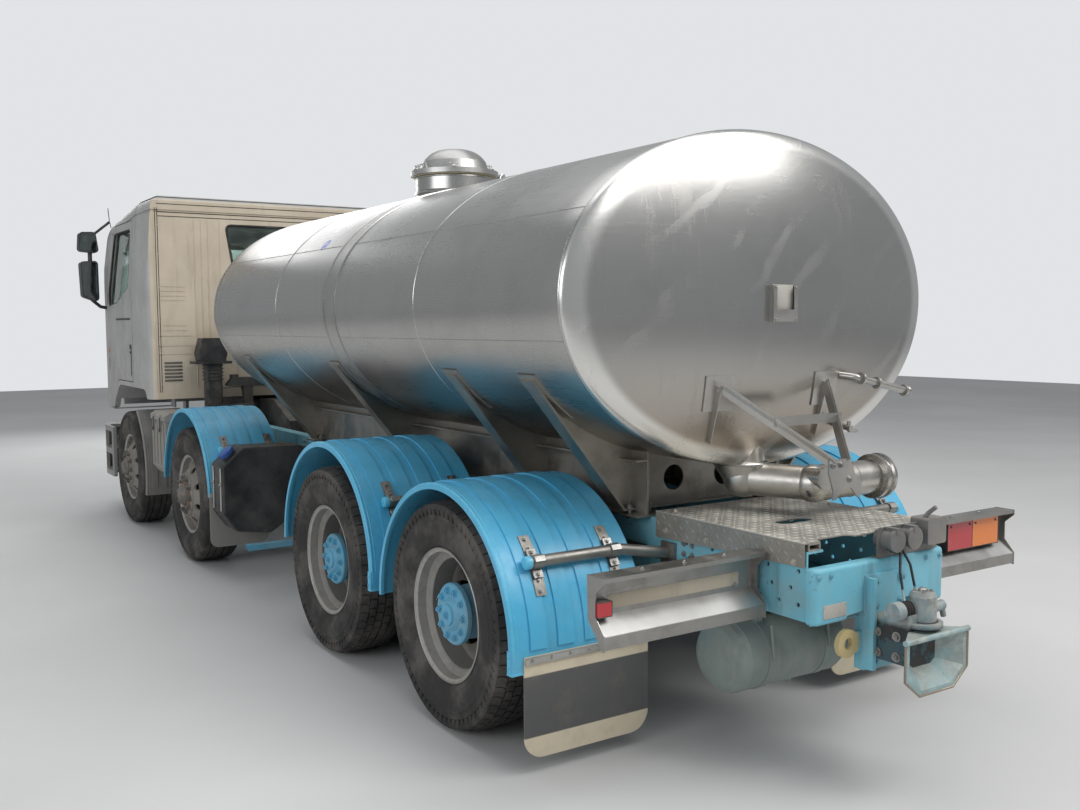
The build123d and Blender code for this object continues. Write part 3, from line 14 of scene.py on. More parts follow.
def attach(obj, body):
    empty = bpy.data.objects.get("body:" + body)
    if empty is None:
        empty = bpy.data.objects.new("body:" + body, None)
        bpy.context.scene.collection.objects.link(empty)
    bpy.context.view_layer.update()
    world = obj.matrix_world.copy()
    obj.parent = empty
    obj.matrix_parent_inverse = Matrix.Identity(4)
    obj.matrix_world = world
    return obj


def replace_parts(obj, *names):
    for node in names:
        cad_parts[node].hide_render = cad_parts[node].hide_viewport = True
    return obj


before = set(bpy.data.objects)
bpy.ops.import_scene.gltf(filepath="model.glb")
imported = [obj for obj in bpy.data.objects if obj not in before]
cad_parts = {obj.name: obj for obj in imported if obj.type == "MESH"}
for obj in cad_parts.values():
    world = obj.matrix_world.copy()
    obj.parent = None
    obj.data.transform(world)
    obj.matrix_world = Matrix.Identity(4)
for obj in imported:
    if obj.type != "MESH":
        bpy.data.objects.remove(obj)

LOG = logging.getLogger("tanker")
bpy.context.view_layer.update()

MATERIALS: dict[str, Material] = {}
Colour = tuple[float, float, float]
Point = tuple[float, float, float]
Outline = Sequence[tuple[float, float]]
Value = NodeSocket | float | Sequence[float]
UP, OUT, REAR = Vector((0, 0, 1)), Vector((0, 1, 0)), Vector((-1, 0, 0))
SIDES: tuple[tuple[str, int], ...] = (("left", 1), ("right", -1))
AXLES: tuple[tuple[str, float, bool], ...] = (
    ("first", 3.155, False), ("second", 1.215, False), ("third", -1.545, True), ("fourth", -2.9, True))
HUB_Z = 0.512


class Axis(Enum):
    """Direction along one of the truck's axes."""

    X = (1.0, 0.0, 0.0)
    Y = (0.0, 1.0, 0.0)
    Z = (0.0, 0.0, 1.0)

    @property
    def vector(self) -> Vector:
        """The direction as a vector."""
        return Vector(self.value)


class Shader:
    """Node tree of one procedural material, read in object coordinates."""

    def __init__(self, name: str) -> None:
        """Starts an empty material with a Principled shader.

        Args:
            name: The material's name.
        """
        self.material = bpy.data.materials.new(name)
        self.material.use_nodes = True
        self.nodes = self.material.node_tree.nodes
        self.links = self.material.node_tree.links
        self.nodes.clear()
        self.bsdf = self.nodes.new("ShaderNodeBsdfPrincipled")
        output = self.nodes.new("ShaderNodeOutputMaterial")
        self.links.new(self.bsdf.outputs[0], output.inputs[0])
        self.place = self.nodes.new("ShaderNodeTexCoord").outputs["Object"]
        split = self.nodes.new("ShaderNodeSeparateXYZ")
        self.links.new(self.place, split.inputs[0])
        self.x, self.y, self.z = split.outputs
        geometry = self.nodes.new("ShaderNodeNewGeometry")
        facing = self.nodes.new("ShaderNodeSeparateXYZ")
        self.links.new(geometry.outputs["Normal"], facing.inputs[0])
        self.upward = facing.outputs[2]

    def feed(self, socket: NodeSocket, value: Value) -> None:
        """Links a socket or sets its value.

        Args:
            socket: The input.
            value: Another node's output, a number or a colour.
        """
        if isinstance(value, NodeSocket):
            self.links.new(value, socket)
        elif isinstance(value, (int, float)):
            socket.default_value = value
        else:
            size = len(socket.default_value)
            socket.default_value = tuple(value) + (1.0,) * (size - len(value))

    def set(self, **inputs: Value) -> None:
        """Feeds the shader's inputs, named in lower case with underscores."""
        for name, value in inputs.items():
            self.feed(next(s for s in self.bsdf.inputs if s.name.lower().replace(" ", "_") == name), value)

    def node(self, kind: str, inputs: dict[int | str, Value], **options: str | bool) -> Node:
        """Adds a node.

        Args:
            kind: Its type, without the first word.
            inputs: What feeds its inputs, by their names or numbers.
            options: Its settings.

        Returns:
            The node.
        """
        node = self.nodes.new("ShaderNode" + kind)
        for option, choice in options.items():
            setattr(node, option, choice)
        for key, value in inputs.items():
            self.feed(node.inputs[key], value)
        return node

    def mapped(self, scale: Point, turn: Point = (0, 0, 0), centre: Point = (0, 0, 0)) -> NodeSocket:
        """Object coordinates scaled, turned by angles in radians, and moved."""
        return self.node("Mapping",
                         {0: self.place, "Scale": scale, "Rotation": turn, "Location": centre}).outputs[0]

    def noise(self, scale: float, detail: float = 4.0, rough: float = 0.55, vector: NodeSocket | None = None,
              bend: float = 0.0) -> NodeSocket:
        """Cloudy noise from 0 to 1, with a scale in lumps per metre."""
        return self.node("TexNoise", {"Vector": vector or self.place, "Scale": scale, "Detail": detail,
                                      "Roughness": rough, "Distortion": bend}).outputs["Fac"]

    def cells(self, scale: float) -> NodeSocket:
        """Distance to the nearest point of a cell pattern."""
        return self.node("TexVoronoi", {"Vector": self.place, "Scale": scale}).outputs["Distance"]

    def waves(self, scale: float, vector: NodeSocket | None = None, bend: float = 0.0, detail: float = 2.0,
              direction: str = "X") -> NodeSocket:
        """Sine bands from 0 to 1 that repeat along a direction, bent by a distortion."""
        return self.node("TexWave", {"Vector": vector or self.place, "Scale": scale, "Distortion": bend,
                                     "Detail": detail}, bands_direction=direction).outputs["Fac"]

    def band(self, value: NodeSocket, low: float, high: float, start: float = 0.0,
             end: float = 1.0) -> NodeSocket:
        """Maps low and high to start and end, eased and clamped."""
        return self.node("MapRange", {0: value, 1: low, 2: high, 3: start, 4: end},
                         interpolation_type="SMOOTHSTEP").outputs[0]

    def sum(self, kind: str, a: NodeSocket | float, b: NodeSocket | float) -> NodeSocket:
        """Arithmetic on two values, such as MULTIPLY, clamped from 0 to 1."""
        return self.node("Math", {0: a, 1: b}, operation=kind, use_clamp=True).outputs[0]

    def times(self, a: NodeSocket | float, b: NodeSocket | float) -> NodeSocket:
        """Product of two values."""
        return self.sum("MULTIPLY", a, b)

    def plus(self, a: NodeSocket | float, b: NodeSocket | float) -> NodeSocket:
        """Sum of two values."""
        return self.sum("ADD", a, b)

    def step(self, value: NodeSocket, middle: float, half: float) -> NodeSocket:
        """Change from 0 to 1 about a middle value."""
        return self.band(value, middle - half, middle + half)

    def near(self, centre: Point, reach: float) -> NodeSocket:
        """Nearness to a point: 1 inside the reach and 0 outside it."""
        away = self.node("VectorMath", {0: self.place, 1: centre}, operation="DISTANCE").outputs["Value"]
        return self.band(away, reach - 0.001, reach + 0.001, 1.0, 0.0)

    def radius(self, x: float, z: float) -> NodeSocket:
        """Distance from a line along Y at a place and a height."""
        flat = self.mapped((1.0, 0.0, 1.0), centre=(-x, 0.0, -z))
        return self.node("VectorMath", {0: flat}, operation="LENGTH").outputs["Value"]

    def mix(self, share: NodeSocket | float, a: NodeSocket | Colour, b: NodeSocket | Colour) -> NodeSocket:
        """Mixes two colours by the share of the second."""
        return self.node("Mix", {"Factor": share, 6: a, 7: b}, data_type="RGBA").outputs[2]

    def relief(self, *layers: tuple[NodeSocket, float, float]) -> None:
        """Stacks bump layers on the shader's normal.

        Args:
            layers: Height, strength and depth in metres of each layer.
        """
        last = None
        for height, strength, depth in layers:
            inputs = {"Strength": strength, "Distance": depth, "Height": height}
            if last is not None:
                inputs["Normal"] = last
            last = self.node("Bump", inputs).outputs[0]
        self.feed(self.bsdf.inputs["Normal"], last)


RUST: Colour = (0.17, 0.065, 0.028)
DUST: Colour = (0.36, 0.32, 0.265)
GRIME: Colour = (0.045, 0.04, 0.034)


@dataclass(frozen=True)
class Finish:
    """A named surface finish, built as one procedural material."""

    name: str

    @cached_property
    def s(self) -> Shader:
        """Shader that the finish feeds."""
        return Shader(self.name)

    def look(self) -> None:
        """Feeds the shader: each kind of finish has its own way."""
        raise NotImplementedError

    def make(self) -> Material:
        """Builds the material."""
        self.look()
        return self.s.material


@dataclass(frozen=True)
class Paint(Finish):
    """Paint on metal or a moulding, with road dust, chips down to rust or primer, and fine relief."""

    colour: Colour
    dust: float = 0.35
    grime: float = 0.25
    chips: float = 0.12
    rough: float = 0.42
    low: float = 0.3
    high: float = 1.4
    under: Colour = RUST
    peel: float = 0.15

    def base(self) -> NodeSocket | Colour:
        """Colour of the clean paint."""
        return self.colour

    def look(self) -> None:
        """Feeds the shader."""
        s = self.s
        base = self.base()
        shade = s.noise(2.3, 5, 0.6)
        colour = s.mix(s.band(shade, 0.35, 0.7), s.mix(0.12, base, (0.0, 0.0, 0.0)),
                       s.mix(0.05, base, (1.0, 1.0, 1.0)))
        streak = s.noise(9, 6, 0.65, s.mapped((1.0, 1.0, 0.13)))
        wet = s.times(s.band(streak, 0.5, 0.78), self.grime)
        colour = s.mix(wet, colour, GRIME)
        lowness = s.band(s.z, self.low, self.high, 1.0, 0.25)
        settle = s.plus(s.band(s.upward, 0.3, 0.95, 0.0, 0.45), s.band(s.noise(5, 8, 0.7), 0.38, 0.7))
        dusty = s.times(s.times(settle, lowness), self.dust)
        colour = s.mix(dusty, colour, DUST)
        if self.chips:
            spots = s.times(s.band(s.noise(38, 6, 0.7), 0.62, 0.68), s.band(s.noise(3.1, 3), 0.45, 0.62))
            colour = s.mix(s.times(spots, min(self.chips * 6.0, 1.0)), colour, self.under)
        rough = s.plus(s.band(s.noise(16, 5), 0.3, 0.8, self.rough - 0.07, self.rough + 0.12),
                       s.times(dusty, 0.4))
        s.set(base_color=colour, roughness=rough, specular_ior_level=0.42)
        s.relief((s.noise(160, 3), self.peel, 0.0006), (s.noise(38, 6, 0.7), self.chips * 0.6, 0.0012))


@dataclass(frozen=True)
class Beam(Paint):
    """Paint with one round fitting, the tow ring, in a colour of its own."""

    spot: Point = (0.0, 0.0, 0.0)
    spot_r: float = 0.05
    spot_colour: Colour = (0.6, 0.4, 0.1)

    def base(self) -> NodeSocket | Colour:
        """Colour of the clean paint, with the ring's colour near its middle."""
        return self.s.mix(self.s.near(self.spot, self.spot_r), self.colour, self.spot_colour)


@dataclass(frozen=True)
class Split(Paint):
    """Paint whose colour changes at a place along the truck."""

    ahead: Colour = (0.5, 0.5, 0.5)
    split_x: float = 0.0
    blur: float = 0.004

    def base(self) -> NodeSocket | Colour:
        """Colour of the clean paint on each side of the change."""
        at = self.s.step(self.s.x, self.split_x, self.blur)
        return self.s.mix(at, self.colour, self.ahead)


@dataclass(frozen=True)
class Wheel(Paint):
    """Wheel paint: paler flange, dark dish, painted shade and grime inside the flange, brake dust, a hub in
    its own colour.
    """

    hub: Colour = (0.2, 0.2, 0.2)
    hub_r: float = 0.141
    dish: Colour = (0.05, 0.05, 0.05)
    x: float = 0.0

    def base(self) -> NodeSocket | Colour:
        """Colour by the distance from the wheel's axis."""
        s = self.s
        away = s.radius(self.x, HUB_Z)
        colour = s.mix(s.band(away, 0.225, 0.262), self.dish, self.colour)
        # Painted shade mixed with grime: everything inside the flange is darkened towards black.
        colour = s.mix(s.band(away, 0.268, 0.288), s.mix(0.35, colour, (0.02, 0.02, 0.02)), colour)
        dusty = s.times(s.band(s.noise(24, 6, 0.7), 0.4, 0.68), 0.45)
        colour = s.mix(dusty, colour, (0.21, 0.17, 0.13))
        return s.mix(s.step(away, self.hub_r, 0.001), self.hub, colour)


@dataclass(frozen=True)
class MirrorGlass(Finish):
    """Silvered mirror glass with a little dust."""

    colour: Colour

    def look(self) -> None:
        """Feeds the shader."""
        s = self.s
        dust = s.band(s.noise(14, 6, 0.7), 0.45, 0.8, 0.0, 0.25)
        s.set(base_color=s.mix(dust, self.colour, (0.3, 0.28, 0.25)), metallic=s.sum("SUBTRACT", 1.0, dust),
              roughness=s.band(s.noise(20, 4), 0.3, 0.8, 0.03, 0.12))
        s.relief((s.noise(3, 2), 0.03, 0.002),)


@dataclass(frozen=True)
class TailLens(Finish):
    """Lamp lenses: red and amber at the rear, red on the marker and clear in the bumper."""

    red: Colour
    amber: Colour
    clear: Colour

    def look(self) -> None:
        """Feeds the shader."""
        s = self.s
        tint = s.mix(s.band(s.y, -0.934, -0.932), self.amber, self.red)
        tint = s.mix(s.band(s.x, 3.9, 4.1), tint, self.clear)
        rows = s.waves(24.0, detail=0.0, direction="Z")
        ribs = s.waves(30.0, detail=0.0, direction="Y")
        net = s.times(ribs, rows)
        colour = s.mix(s.times(net, 0.5), tint, s.mix(0.45, tint, (0.02, 0.01, 0.01)))
        colour = s.mix(s.times(s.band(s.noise(8, 6, 0.7), 0.5, 0.75), 0.22), colour, (0.25, 0.2, 0.16))
        s.set(base_color=colour, roughness=s.band(s.noise(14, 4), 0.3, 0.8, 0.1, 0.26), coat_weight=0.7,
              coat_roughness=0.06)
        s.relief((net, 0.3, 0.0012),)


@dataclass(frozen=True)
class Steel(Finish):
    """Bare stainless or galvanised steel with brush lines along one axis, smears and grime low down."""

    colour: Colour
    grain: Axis = Axis.X
    rough: float = 0.26
    brush: float = 0.3
    grime: float = 0.3
    low: float = 0.4
    high: float = 1.6
    spangle: float = 0.0

    def look(self) -> None:
        """Feeds the shader."""
        s = self.s
        stretch = tuple(0.035 if a else 1.0 for a in self.grain.value)
        lines = s.noise(240, 4, 0.6, s.mapped(stretch))
        smear = s.noise(3.4, 6, 0.6, bend=0.7)
        colour = s.mix(s.band(smear, 0.3, 0.75), tuple(c * 0.8 for c in self.colour), self.colour)
        colour = s.mix(s.times(lines, 0.22), colour, tuple(c * 0.62 for c in self.colour))
        lowness = s.band(s.z, self.low, self.high, 1.0, 0.15)
        dirt = s.times(s.times(s.band(s.noise(6.5, 8, 0.72), 0.42, 0.74), lowness), self.grime)
        colour = s.mix(dirt, colour, (0.2, 0.165, 0.125))
        rough = s.plus(s.band(smear, 0.3, 0.8, self.rough - 0.06, self.rough + 0.1),
                       s.plus(s.times(lines, self.brush * 0.4), s.times(dirt, 0.5)))
        if self.spangle:
            grains = s.cells(70)
            colour = s.mix(s.times(s.band(grains, 0.1, 0.6), self.spangle), colour,
                           tuple(c * 0.7 for c in self.colour))
        metal = s.sum("SUBTRACT", 1.0, s.times(dirt, 0.7))
        s.set(base_color=colour, metallic=metal, roughness=rough)
        s.relief((lines, self.brush, 0.0004), (s.noise(1.7, 3), 0.12, 0.004))


@dataclass(frozen=True)
class TankSteel(Finish):
    """Stainless barrel, brushed lengthwise, with a swirl-polished head and a dull underside warmed by painted
    ground reflection and road dirt.
    """

    colour: Colour
    head_x: float
    low: float
    high: float

    def look(self) -> None:
        """Feeds the shader."""
        s = self.s
        at_head = s.band(s.x, self.head_x - 0.012, self.head_x + 0.004, 1.0, 0.0)
        lines = s.noise(150, 5, 0.62, s.mapped((0.02, 1.0, 1.0)))
        cross = s.noise(4.6, 5, 0.6, s.mapped((0.5, 0.1, 1.0)), 0.3)
        arcs = s.waves(1.5, s.mapped((0.1, 1.0, 1.0), (0.7, 0, 0)), 7.0, 3.0, "Z")
        clouds = s.noise(2.0, 6, 0.55, bend=0.8)
        swirl = s.times(s.band(arcs, 0.72, 1.0), s.band(clouds, 0.44, 0.72))
        fine = s.sum("MAXIMUM", s.noise(120, 3, 0.6, s.mapped((0.2, 1.0, 0.05))),
                     s.noise(110, 3, 0.6, s.mapped((0.2, 0.05, 1.0))))
        pattern = s.mix(at_head, cross, swirl)
        grain = s.mix(at_head, lines, fine)
        # Painted reflection of the ground mixed with road dirt: warm and dull towards the bottom.
        ground_reflection_and_dirt = s.band(s.z, self.low, self.high, 1.0, 0.0)
        colour = s.mix(ground_reflection_and_dirt, self.colour, (0.36, 0.31, 0.255))
        colour = s.mix(s.times(pattern, 0.28), colour, tuple(min(c * 1.3, 0.95) for c in self.colour))
        colour = s.mix(s.times(s.band(clouds, 0.48, 0.75), 0.3), colour, tuple(c * 0.72 for c in self.colour))
        colour = s.mix(s.times(grain, 0.14), colour, tuple(c * 0.6 for c in self.colour))
        # Painted highlight: a bright band of colour round the rear head's knuckle.
        rim = s.times(s.band(s.x, self.head_x - 0.046, self.head_x - 0.036),
                      s.band(s.x, self.head_x - 0.004, self.head_x + 0.002, 1.0, 0.0))
        colour = s.mix(s.times(rim, 0.8), colour, tuple(min(c * 1.6, 0.95) for c in self.colour))
        drips = s.noise(7, 6, 0.65, s.mapped((1.0, 1.0, 0.09)))
        stain = s.times(s.band(drips, 0.56, 0.8), 0.22)
        colour = s.mix(stain, colour, (0.26, 0.225, 0.18))
        smudge = s.times(s.near((-0.88, 0.917, 2.276), 0.045), s.band(s.noise(40, 3), 0.42, 0.5))
        colour = s.mix(smudge, colour, (0.03, 0.06, 0.4))
        rough = s.plus(s.band(pattern, 0.0, 1.0, 0.18, 0.27), s.times(grain, 0.13))
        rough = s.plus(rough, s.times(stain, 0.5))
        s.set(base_color=colour, metallic=1.0, roughness=rough)
        s.relief((grain, 0.16, 0.0003), (s.noise(1.1, 2), 0.14, 0.008), (swirl, 0.02, 0.0004))


@dataclass(frozen=True)
class Rubber(Finish):
    """Worn rubber with ground-in dust, heavier low down and in the relief."""

    colour: Colour
    dust: float = 0.4
    rough: float = 0.75
    grain: float = 120.0

    def look(self) -> None:
        """Feeds the shader."""
        s = self.s
        patches = s.noise(4.2, 7, 0.68)
        scuffs = s.noise(46, 5, 0.7)
        colour = s.mix(s.band(patches, 0.35, 0.7), self.colour, tuple(c * 1.7 + 0.01 for c in self.colour))
        dusty = s.times(s.plus(s.band(patches, 0.42, 0.72), s.times(scuffs, 0.4)), self.dust)
        colour = s.mix(dusty, colour, (0.235, 0.21, 0.178))
        s.set(base_color=colour, roughness=s.band(scuffs, 0.2, 0.8, self.rough - 0.1, self.rough + 0.15),
              specular_ior_level=0.3)
        s.relief((s.noise(self.grain, 4, 0.6), 0.25, 0.0008), (scuffs, 0.2, 0.0012))


@dataclass(frozen=True)
class Banded(Finish):
    """Rubber flaps: a dark field between pale bands on the rear ones, and plain grey ahead."""

    pale: Colour
    dark: Colour
    plain: Colour
    field_z: tuple[float, float]

    def look(self) -> None:
        """Feeds the shader."""
        s = self.s
        low, high = self.field_z
        inside = s.times(s.band(s.z, low, low + 0.006), s.band(s.z, high - 0.006, high, 1.0, 0.0))
        colour = s.mix(s.band(s.x, -2.0, -1.9), s.mix(inside, self.pale, self.dark), self.plain)
        wear = s.noise(7, 8, 0.7)
        colour = s.mix(s.times(s.band(wear, 0.45, 0.72), 0.25), colour, (0.3, 0.27, 0.22))
        spots = s.band(s.noise(60, 4, 0.7), 0.66, 0.74)
        colour = s.mix(s.times(spots, 0.5), colour, (0.07, 0.06, 0.05))
        s.set(base_color=colour, roughness=s.band(wear, 0.3, 0.8, 0.55, 0.85), specular_ior_level=0.3)
        s.relief((s.noise(90, 4), 0.2, 0.001), (s.noise(2.4, 2), 0.25, 0.01))


@dataclass(frozen=True)
class Pane(Finish):
    """Tinted glass with a thin film of dust."""

    tint: Colour
    film: float = 0.1

    def look(self) -> None:
        """Feeds the shader."""
        s = self.s
        dust = s.band(s.noise(5, 7, 0.7), 0.42, 0.8, 0.0, self.film)
        s.set(base_color=s.mix(dust, self.tint, (0.5, 0.47, 0.42)),
              transmission_weight=s.sum("SUBTRACT", 1.0, dust),
              roughness=s.band(s.noise(20, 4), 0.3, 0.8, 0.02, 0.09), ior=1.45)
        s.relief((s.noise(1.5, 2), 0.05, 0.004),)


@dataclass(frozen=True)
class Lens(Finish):
    """Moulded lamp lens with small prisms behind a smooth face."""

    colour: Colour
    prism: float = 90.0

    def look(self) -> None:
        """Feeds the shader."""
        s = self.s
        ribs = s.waves(self.prism, direction="Y", detail=0.0)
        rows = s.waves(self.prism, direction="Z", detail=0.0)
        net = s.times(ribs, rows)
        colour = s.mix(net, tuple(c * 0.62 for c in self.colour), self.colour)
        colour = s.mix(s.times(s.band(s.noise(8, 6, 0.7), 0.5, 0.75), 0.35), colour, (0.25, 0.2, 0.16))
        s.set(base_color=colour, roughness=s.band(s.noise(14, 4), 0.3, 0.8, 0.12, 0.32), coat_weight=0.6,
              coat_roughness=0.08)
        s.relief((net, 0.25, 0.001),)


@dataclass(frozen=True)
class TreadPlate(Finish):
    """Worn chequer plate: pale where feet have polished it, dark in the hollows."""

    worn: Colour
    hollow: Colour

    def look(self) -> None:
        """Feeds the shader."""
        s = self.s
        walked = s.noise(5.5, 7, 0.7)
        fine = s.noise(55, 5, 0.7)
        share = s.plus(s.band(walked, 0.36, 0.7), s.times(fine, 0.3))
        flat = s.band(s.upward, 0.4, 0.9)
        colour = s.mix(s.times(share, s.plus(s.times(flat, 0.75), 0.25)), self.hollow, self.worn)
        rust = s.times(s.band(s.noise(17, 6, 0.7), 0.6, 0.72), 0.3)
        colour = s.mix(rust, colour, (0.2, 0.1, 0.05))
        s.set(base_color=colour, metallic=s.band(fine, 0.3, 0.8, 0.2, 0.6),
              roughness=s.band(fine, 0.25, 0.8, 0.36, 0.62))
        s.relief((fine, 0.3, 0.001),)


@dataclass(frozen=True)
class Cast(Finish):
    """Rough casting with dust, oil and old paint in patches, a paler upper part and black leads above."""

    colour: Colour
    paint: Colour
    painted: float = 0.3
    pale: Colour = (0.4, 0.43, 0.42)
    pale_z: float = 9.0
    lead_z: float = 9.0

    def look(self) -> None:
        """Feeds the shader."""
        s = self.s
        patches = s.noise(13, 7, 0.7)
        skin = s.noise(210, 4, 0.6)
        colour = s.mix(s.step(s.z, self.pale_z, 0.012), self.colour, self.pale)
        colour = s.mix(s.band(patches, 0.4, 0.65), s.mix(0.35, colour, (0.0, 0.0, 0.0)), colour)
        colour = s.mix(s.times(s.band(s.noise(9, 6, 0.7), 0.47, 0.53), self.painted), colour, self.paint)
        colour = s.mix(s.times(s.band(s.noise(21, 5, 0.7), 0.6, 0.72), 0.6), colour, RUST)
        colour = s.mix(s.band(s.upward, 0.4, 1.0, 0.0, 0.35), colour, DUST)
        colour = s.mix(s.step(s.z, self.lead_z, 0.004), colour, (0.018, 0.018, 0.019))
        s.set(base_color=colour, metallic=0.25, roughness=s.band(patches, 0.3, 0.8, 0.5, 0.8))
        s.relief((skin, 0.35, 0.0012), (patches, 0.2, 0.002))


@dataclass(frozen=True)
class Cloth(Finish):
    """Woven seat cloth with a crossed thread pattern and worn patches."""

    colour: Colour

    def look(self) -> None:
        """Feeds the shader."""
        s = self.s
        warp = s.waves(260, direction="Y", detail=0.0)
        weft = s.waves(260, direction="DIAGONAL", detail=0.0)
        weave = s.times(warp, weft)
        colour = s.mix(weave, self.colour, tuple(c * 2.1 for c in self.colour))
        colour = s.mix(s.times(s.band(s.noise(4, 5), 0.45, 0.7), 0.4), colour, (0.16, 0.145, 0.125))
        s.set(base_color=colour, roughness=0.9, sheen_weight=0.35, sheen_roughness=0.5)
        s.relief((weave, 0.4, 0.001),)


class Mesh:
    """A bmesh being shaped in the row frame, and turned into a finished piece."""

    def __init__(self) -> None:
        """Starts with nothing in the mesh."""
        self.bm = bmesh.new()

    def ease(self, edges: list[bmesh.types.BMEdge], width: float, steps: int = 2) -> None:
        """Rounds edges."""
        bmesh.ops.bevel(self.bm, geom=edges, offset=width, segments=steps, affect="EDGES",
                        profile=0.5, material=-1)

    def box(self, centre: Point, size: Point, turn: Matrix | None = None, bevel: float = 0.0,
            steps: int = 2) -> None:
        """Adds a box with eased edges.

        Args:
            centre: Middle of the box.
            size: Length along each axis.
            turn: Rotation about the centre.
            bevel: Width of the eased edges.
            steps: Facets in an eased edge.
        """
        stand = turn.to_4x4() if turn else Matrix()
        place = Matrix.Translation(centre) @ stand @ Matrix.Diagonal((*size, 1.0))
        made = bmesh.ops.create_cube(self.bm, size=1.0, matrix=place)["verts"]
        if bevel:
            edges = list({edge for vert in made for edge in vert.link_edges})
            self.ease(edges, bevel, steps)

    def rod(self, start: Point, end: Point, r0: float, r1: float | None = None, sides: int = 16,
            bevel: float = 0.0) -> None:
        """Adds a round bar or cone between two points.

        Args:
            start: Centre of the first end.
            end: Centre of the second end.
            r0: Radius at the start.
            r1: Radius at the end, or None for the same.
            sides: Facets round the bar.
            bevel: Width of the eased end edges.
        """
        a, b = Vector(start), Vector(end)
        run = b - a
        place = Matrix.Translation((a + b) / 2) @ run.to_track_quat("Z", "Y").to_matrix().to_4x4()
        end_r = r0 if r1 is None else r1
        made = bmesh.ops.create_cone(self.bm, cap_ends=True, segments=sides, radius1=r0, radius2=end_r,
                                     depth=run.length, matrix=place)["verts"]
        if bevel:
            rims = [e for e in {e for v in made for e in v.link_edges}
                    if len(e.link_faces) == 2 and any(len(f.verts) > 4 for f in e.link_faces)]
            self.ease(rims, bevel)

    def ball(self, centre: Point, radius: float, stretch: Point = (1, 1, 1), sides: int = 16) -> None:
        """Adds a ball, stretched by a factor along each axis."""
        place = Matrix.Translation(centre) @ Matrix.Diagonal((*stretch, 1.0))
        bmesh.ops.create_uvsphere(self.bm, u_segments=sides, v_segments=sides // 2,
                                  radius=radius, matrix=place)

    def turned(self, outline: Outline, centre: Point, axis: Axis, steps: int = 48,
               closed: bool = False) -> None:
        """Adds a shape turned all the way about an axis through the centre.

        Args:
            outline: Distances along the axis and radii.
            centre: Point on the axis.
            axis: The axis.
            steps: Facets round it.
            closed: True where the outline comes back to its start.
        """
        away = UP if axis is not Axis.Z else Vector((1, 0, 0))
        along = axis.vector
        verts = [self.bm.verts.new(Vector(centre) + along * a + away * r) for a, r in outline]
        pairs = list(zip(verts, verts[1:])) + ([(verts[-1], verts[0])] if closed else [])
        edges = [self.bm.edges.new(pair) for pair in pairs]
        bmesh.ops.spin(self.bm, geom=verts + edges, cent=centre, axis=along, angle=2 * pi, steps=steps,
                       use_merge=True)

    def arched(self, outline: Outline, centre: Point, start: float, end: float) -> None:
        """Adds a closed section swept part of the way about an axis along Y, with capped ends.

        Args:
            outline: Distances along Y and radii of the section.
            centre: Point on the axis.
            start: First angle from +X, in degrees.
            end: Last angle, in degrees.
        """
        at = Vector(centre)
        away = Vector((cos(radians(start)), 0, sin(radians(start))))
        verts = [self.bm.verts.new(at + Vector((0, a, 0)) + away * r) for a, r in outline]
        pairs = zip(verts, verts[1:] + verts[:1])
        edges = [self.bm.edges.new(pair) for pair in pairs]
        last = bmesh.ops.spin(self.bm, geom=verts + edges, cent=at, axis=(0, -1, 0),
                              angle=radians(end - start), steps=64)["geom_last"]
        for rim in (edges, [g for g in last if isinstance(g, bmesh.types.BMEdge)]):
            bmesh.ops.contextual_create(self.bm, geom=rim)

    def merge(self, other: "Mesh") -> None:
        """Takes over another mesh's shape, and frees that mesh.

        Args:
            other: The mesh that is taken in.
        """
        carried = bpy.data.meshes.new("carried")
        other.bm.to_mesh(carried)
        other.bm.free()
        self.bm.from_mesh(carried)
        bpy.data.meshes.remove(carried)

    def plate(self, points: Sequence[Point], thickness: Vector, bevel: float = 0.0) -> None:
        """Adds a flat outline given a thickness.

        Args:
            points: Corners of the outline.
            thickness: Direction and depth.
            bevel: Width of the eased edges.
        """
        verts = [self.bm.verts.new(p) for p in points]
        face = self.bm.faces.new(verts)
        grown = bmesh.ops.extrude_face_region(self.bm, geom=[face], use_keep_orig=True)["geom"]
        moved = [g for g in grown if isinstance(g, bmesh.types.BMVert)]
        bmesh.ops.translate(self.bm, verts=moved, vec=thickness)
        if bevel:
            edges = list({e for v in verts + moved for e in v.link_edges})
            self.ease(edges, bevel)

    def nut(self, centre: Point, direction: Vector, across: float, height: float, dome: bool = False) -> None:
        """Adds a hexagon head on a washer, with the bolt's end standing proud.

        Args:
            centre: Point on the surface.
            direction: Way that the head points.
            across: Width over the hexagon's corners.
            height: Height of the head.
            dome: True for a rounded cap in place of the bolt's end.
        """
        base, up = Vector(centre), direction.normalized()
        self.rod(base, base + up * height * 0.22, across * 0.68, sides=16)
        self.rod(base + up * height * 0.2, base + up * height, across / 2, across * 0.47, sides=6)
        if dome:
            self.ball(base + up * height * 0.95, across * 0.34, sides=10)
        else:
            self.rod(base + up * height * 0.9, base + up * height * 1.35, across * 0.22, sides=8)

    def copied(self, turns: Iterable[Matrix]) -> None:
        """Repeats everything made so far at more places.

        Args:
            turns: Transforms of the copies, besides the first.
        """
        base = list(self.bm.verts) + list(self.bm.edges) + list(self.bm.faces)
        for turn in turns:
            made = bmesh.ops.duplicate(self.bm, geom=base)["geom"]
            bmesh.ops.transform(self.bm, matrix=turn,
                                verts=[g for g in made if isinstance(g, bmesh.types.BMVert)])

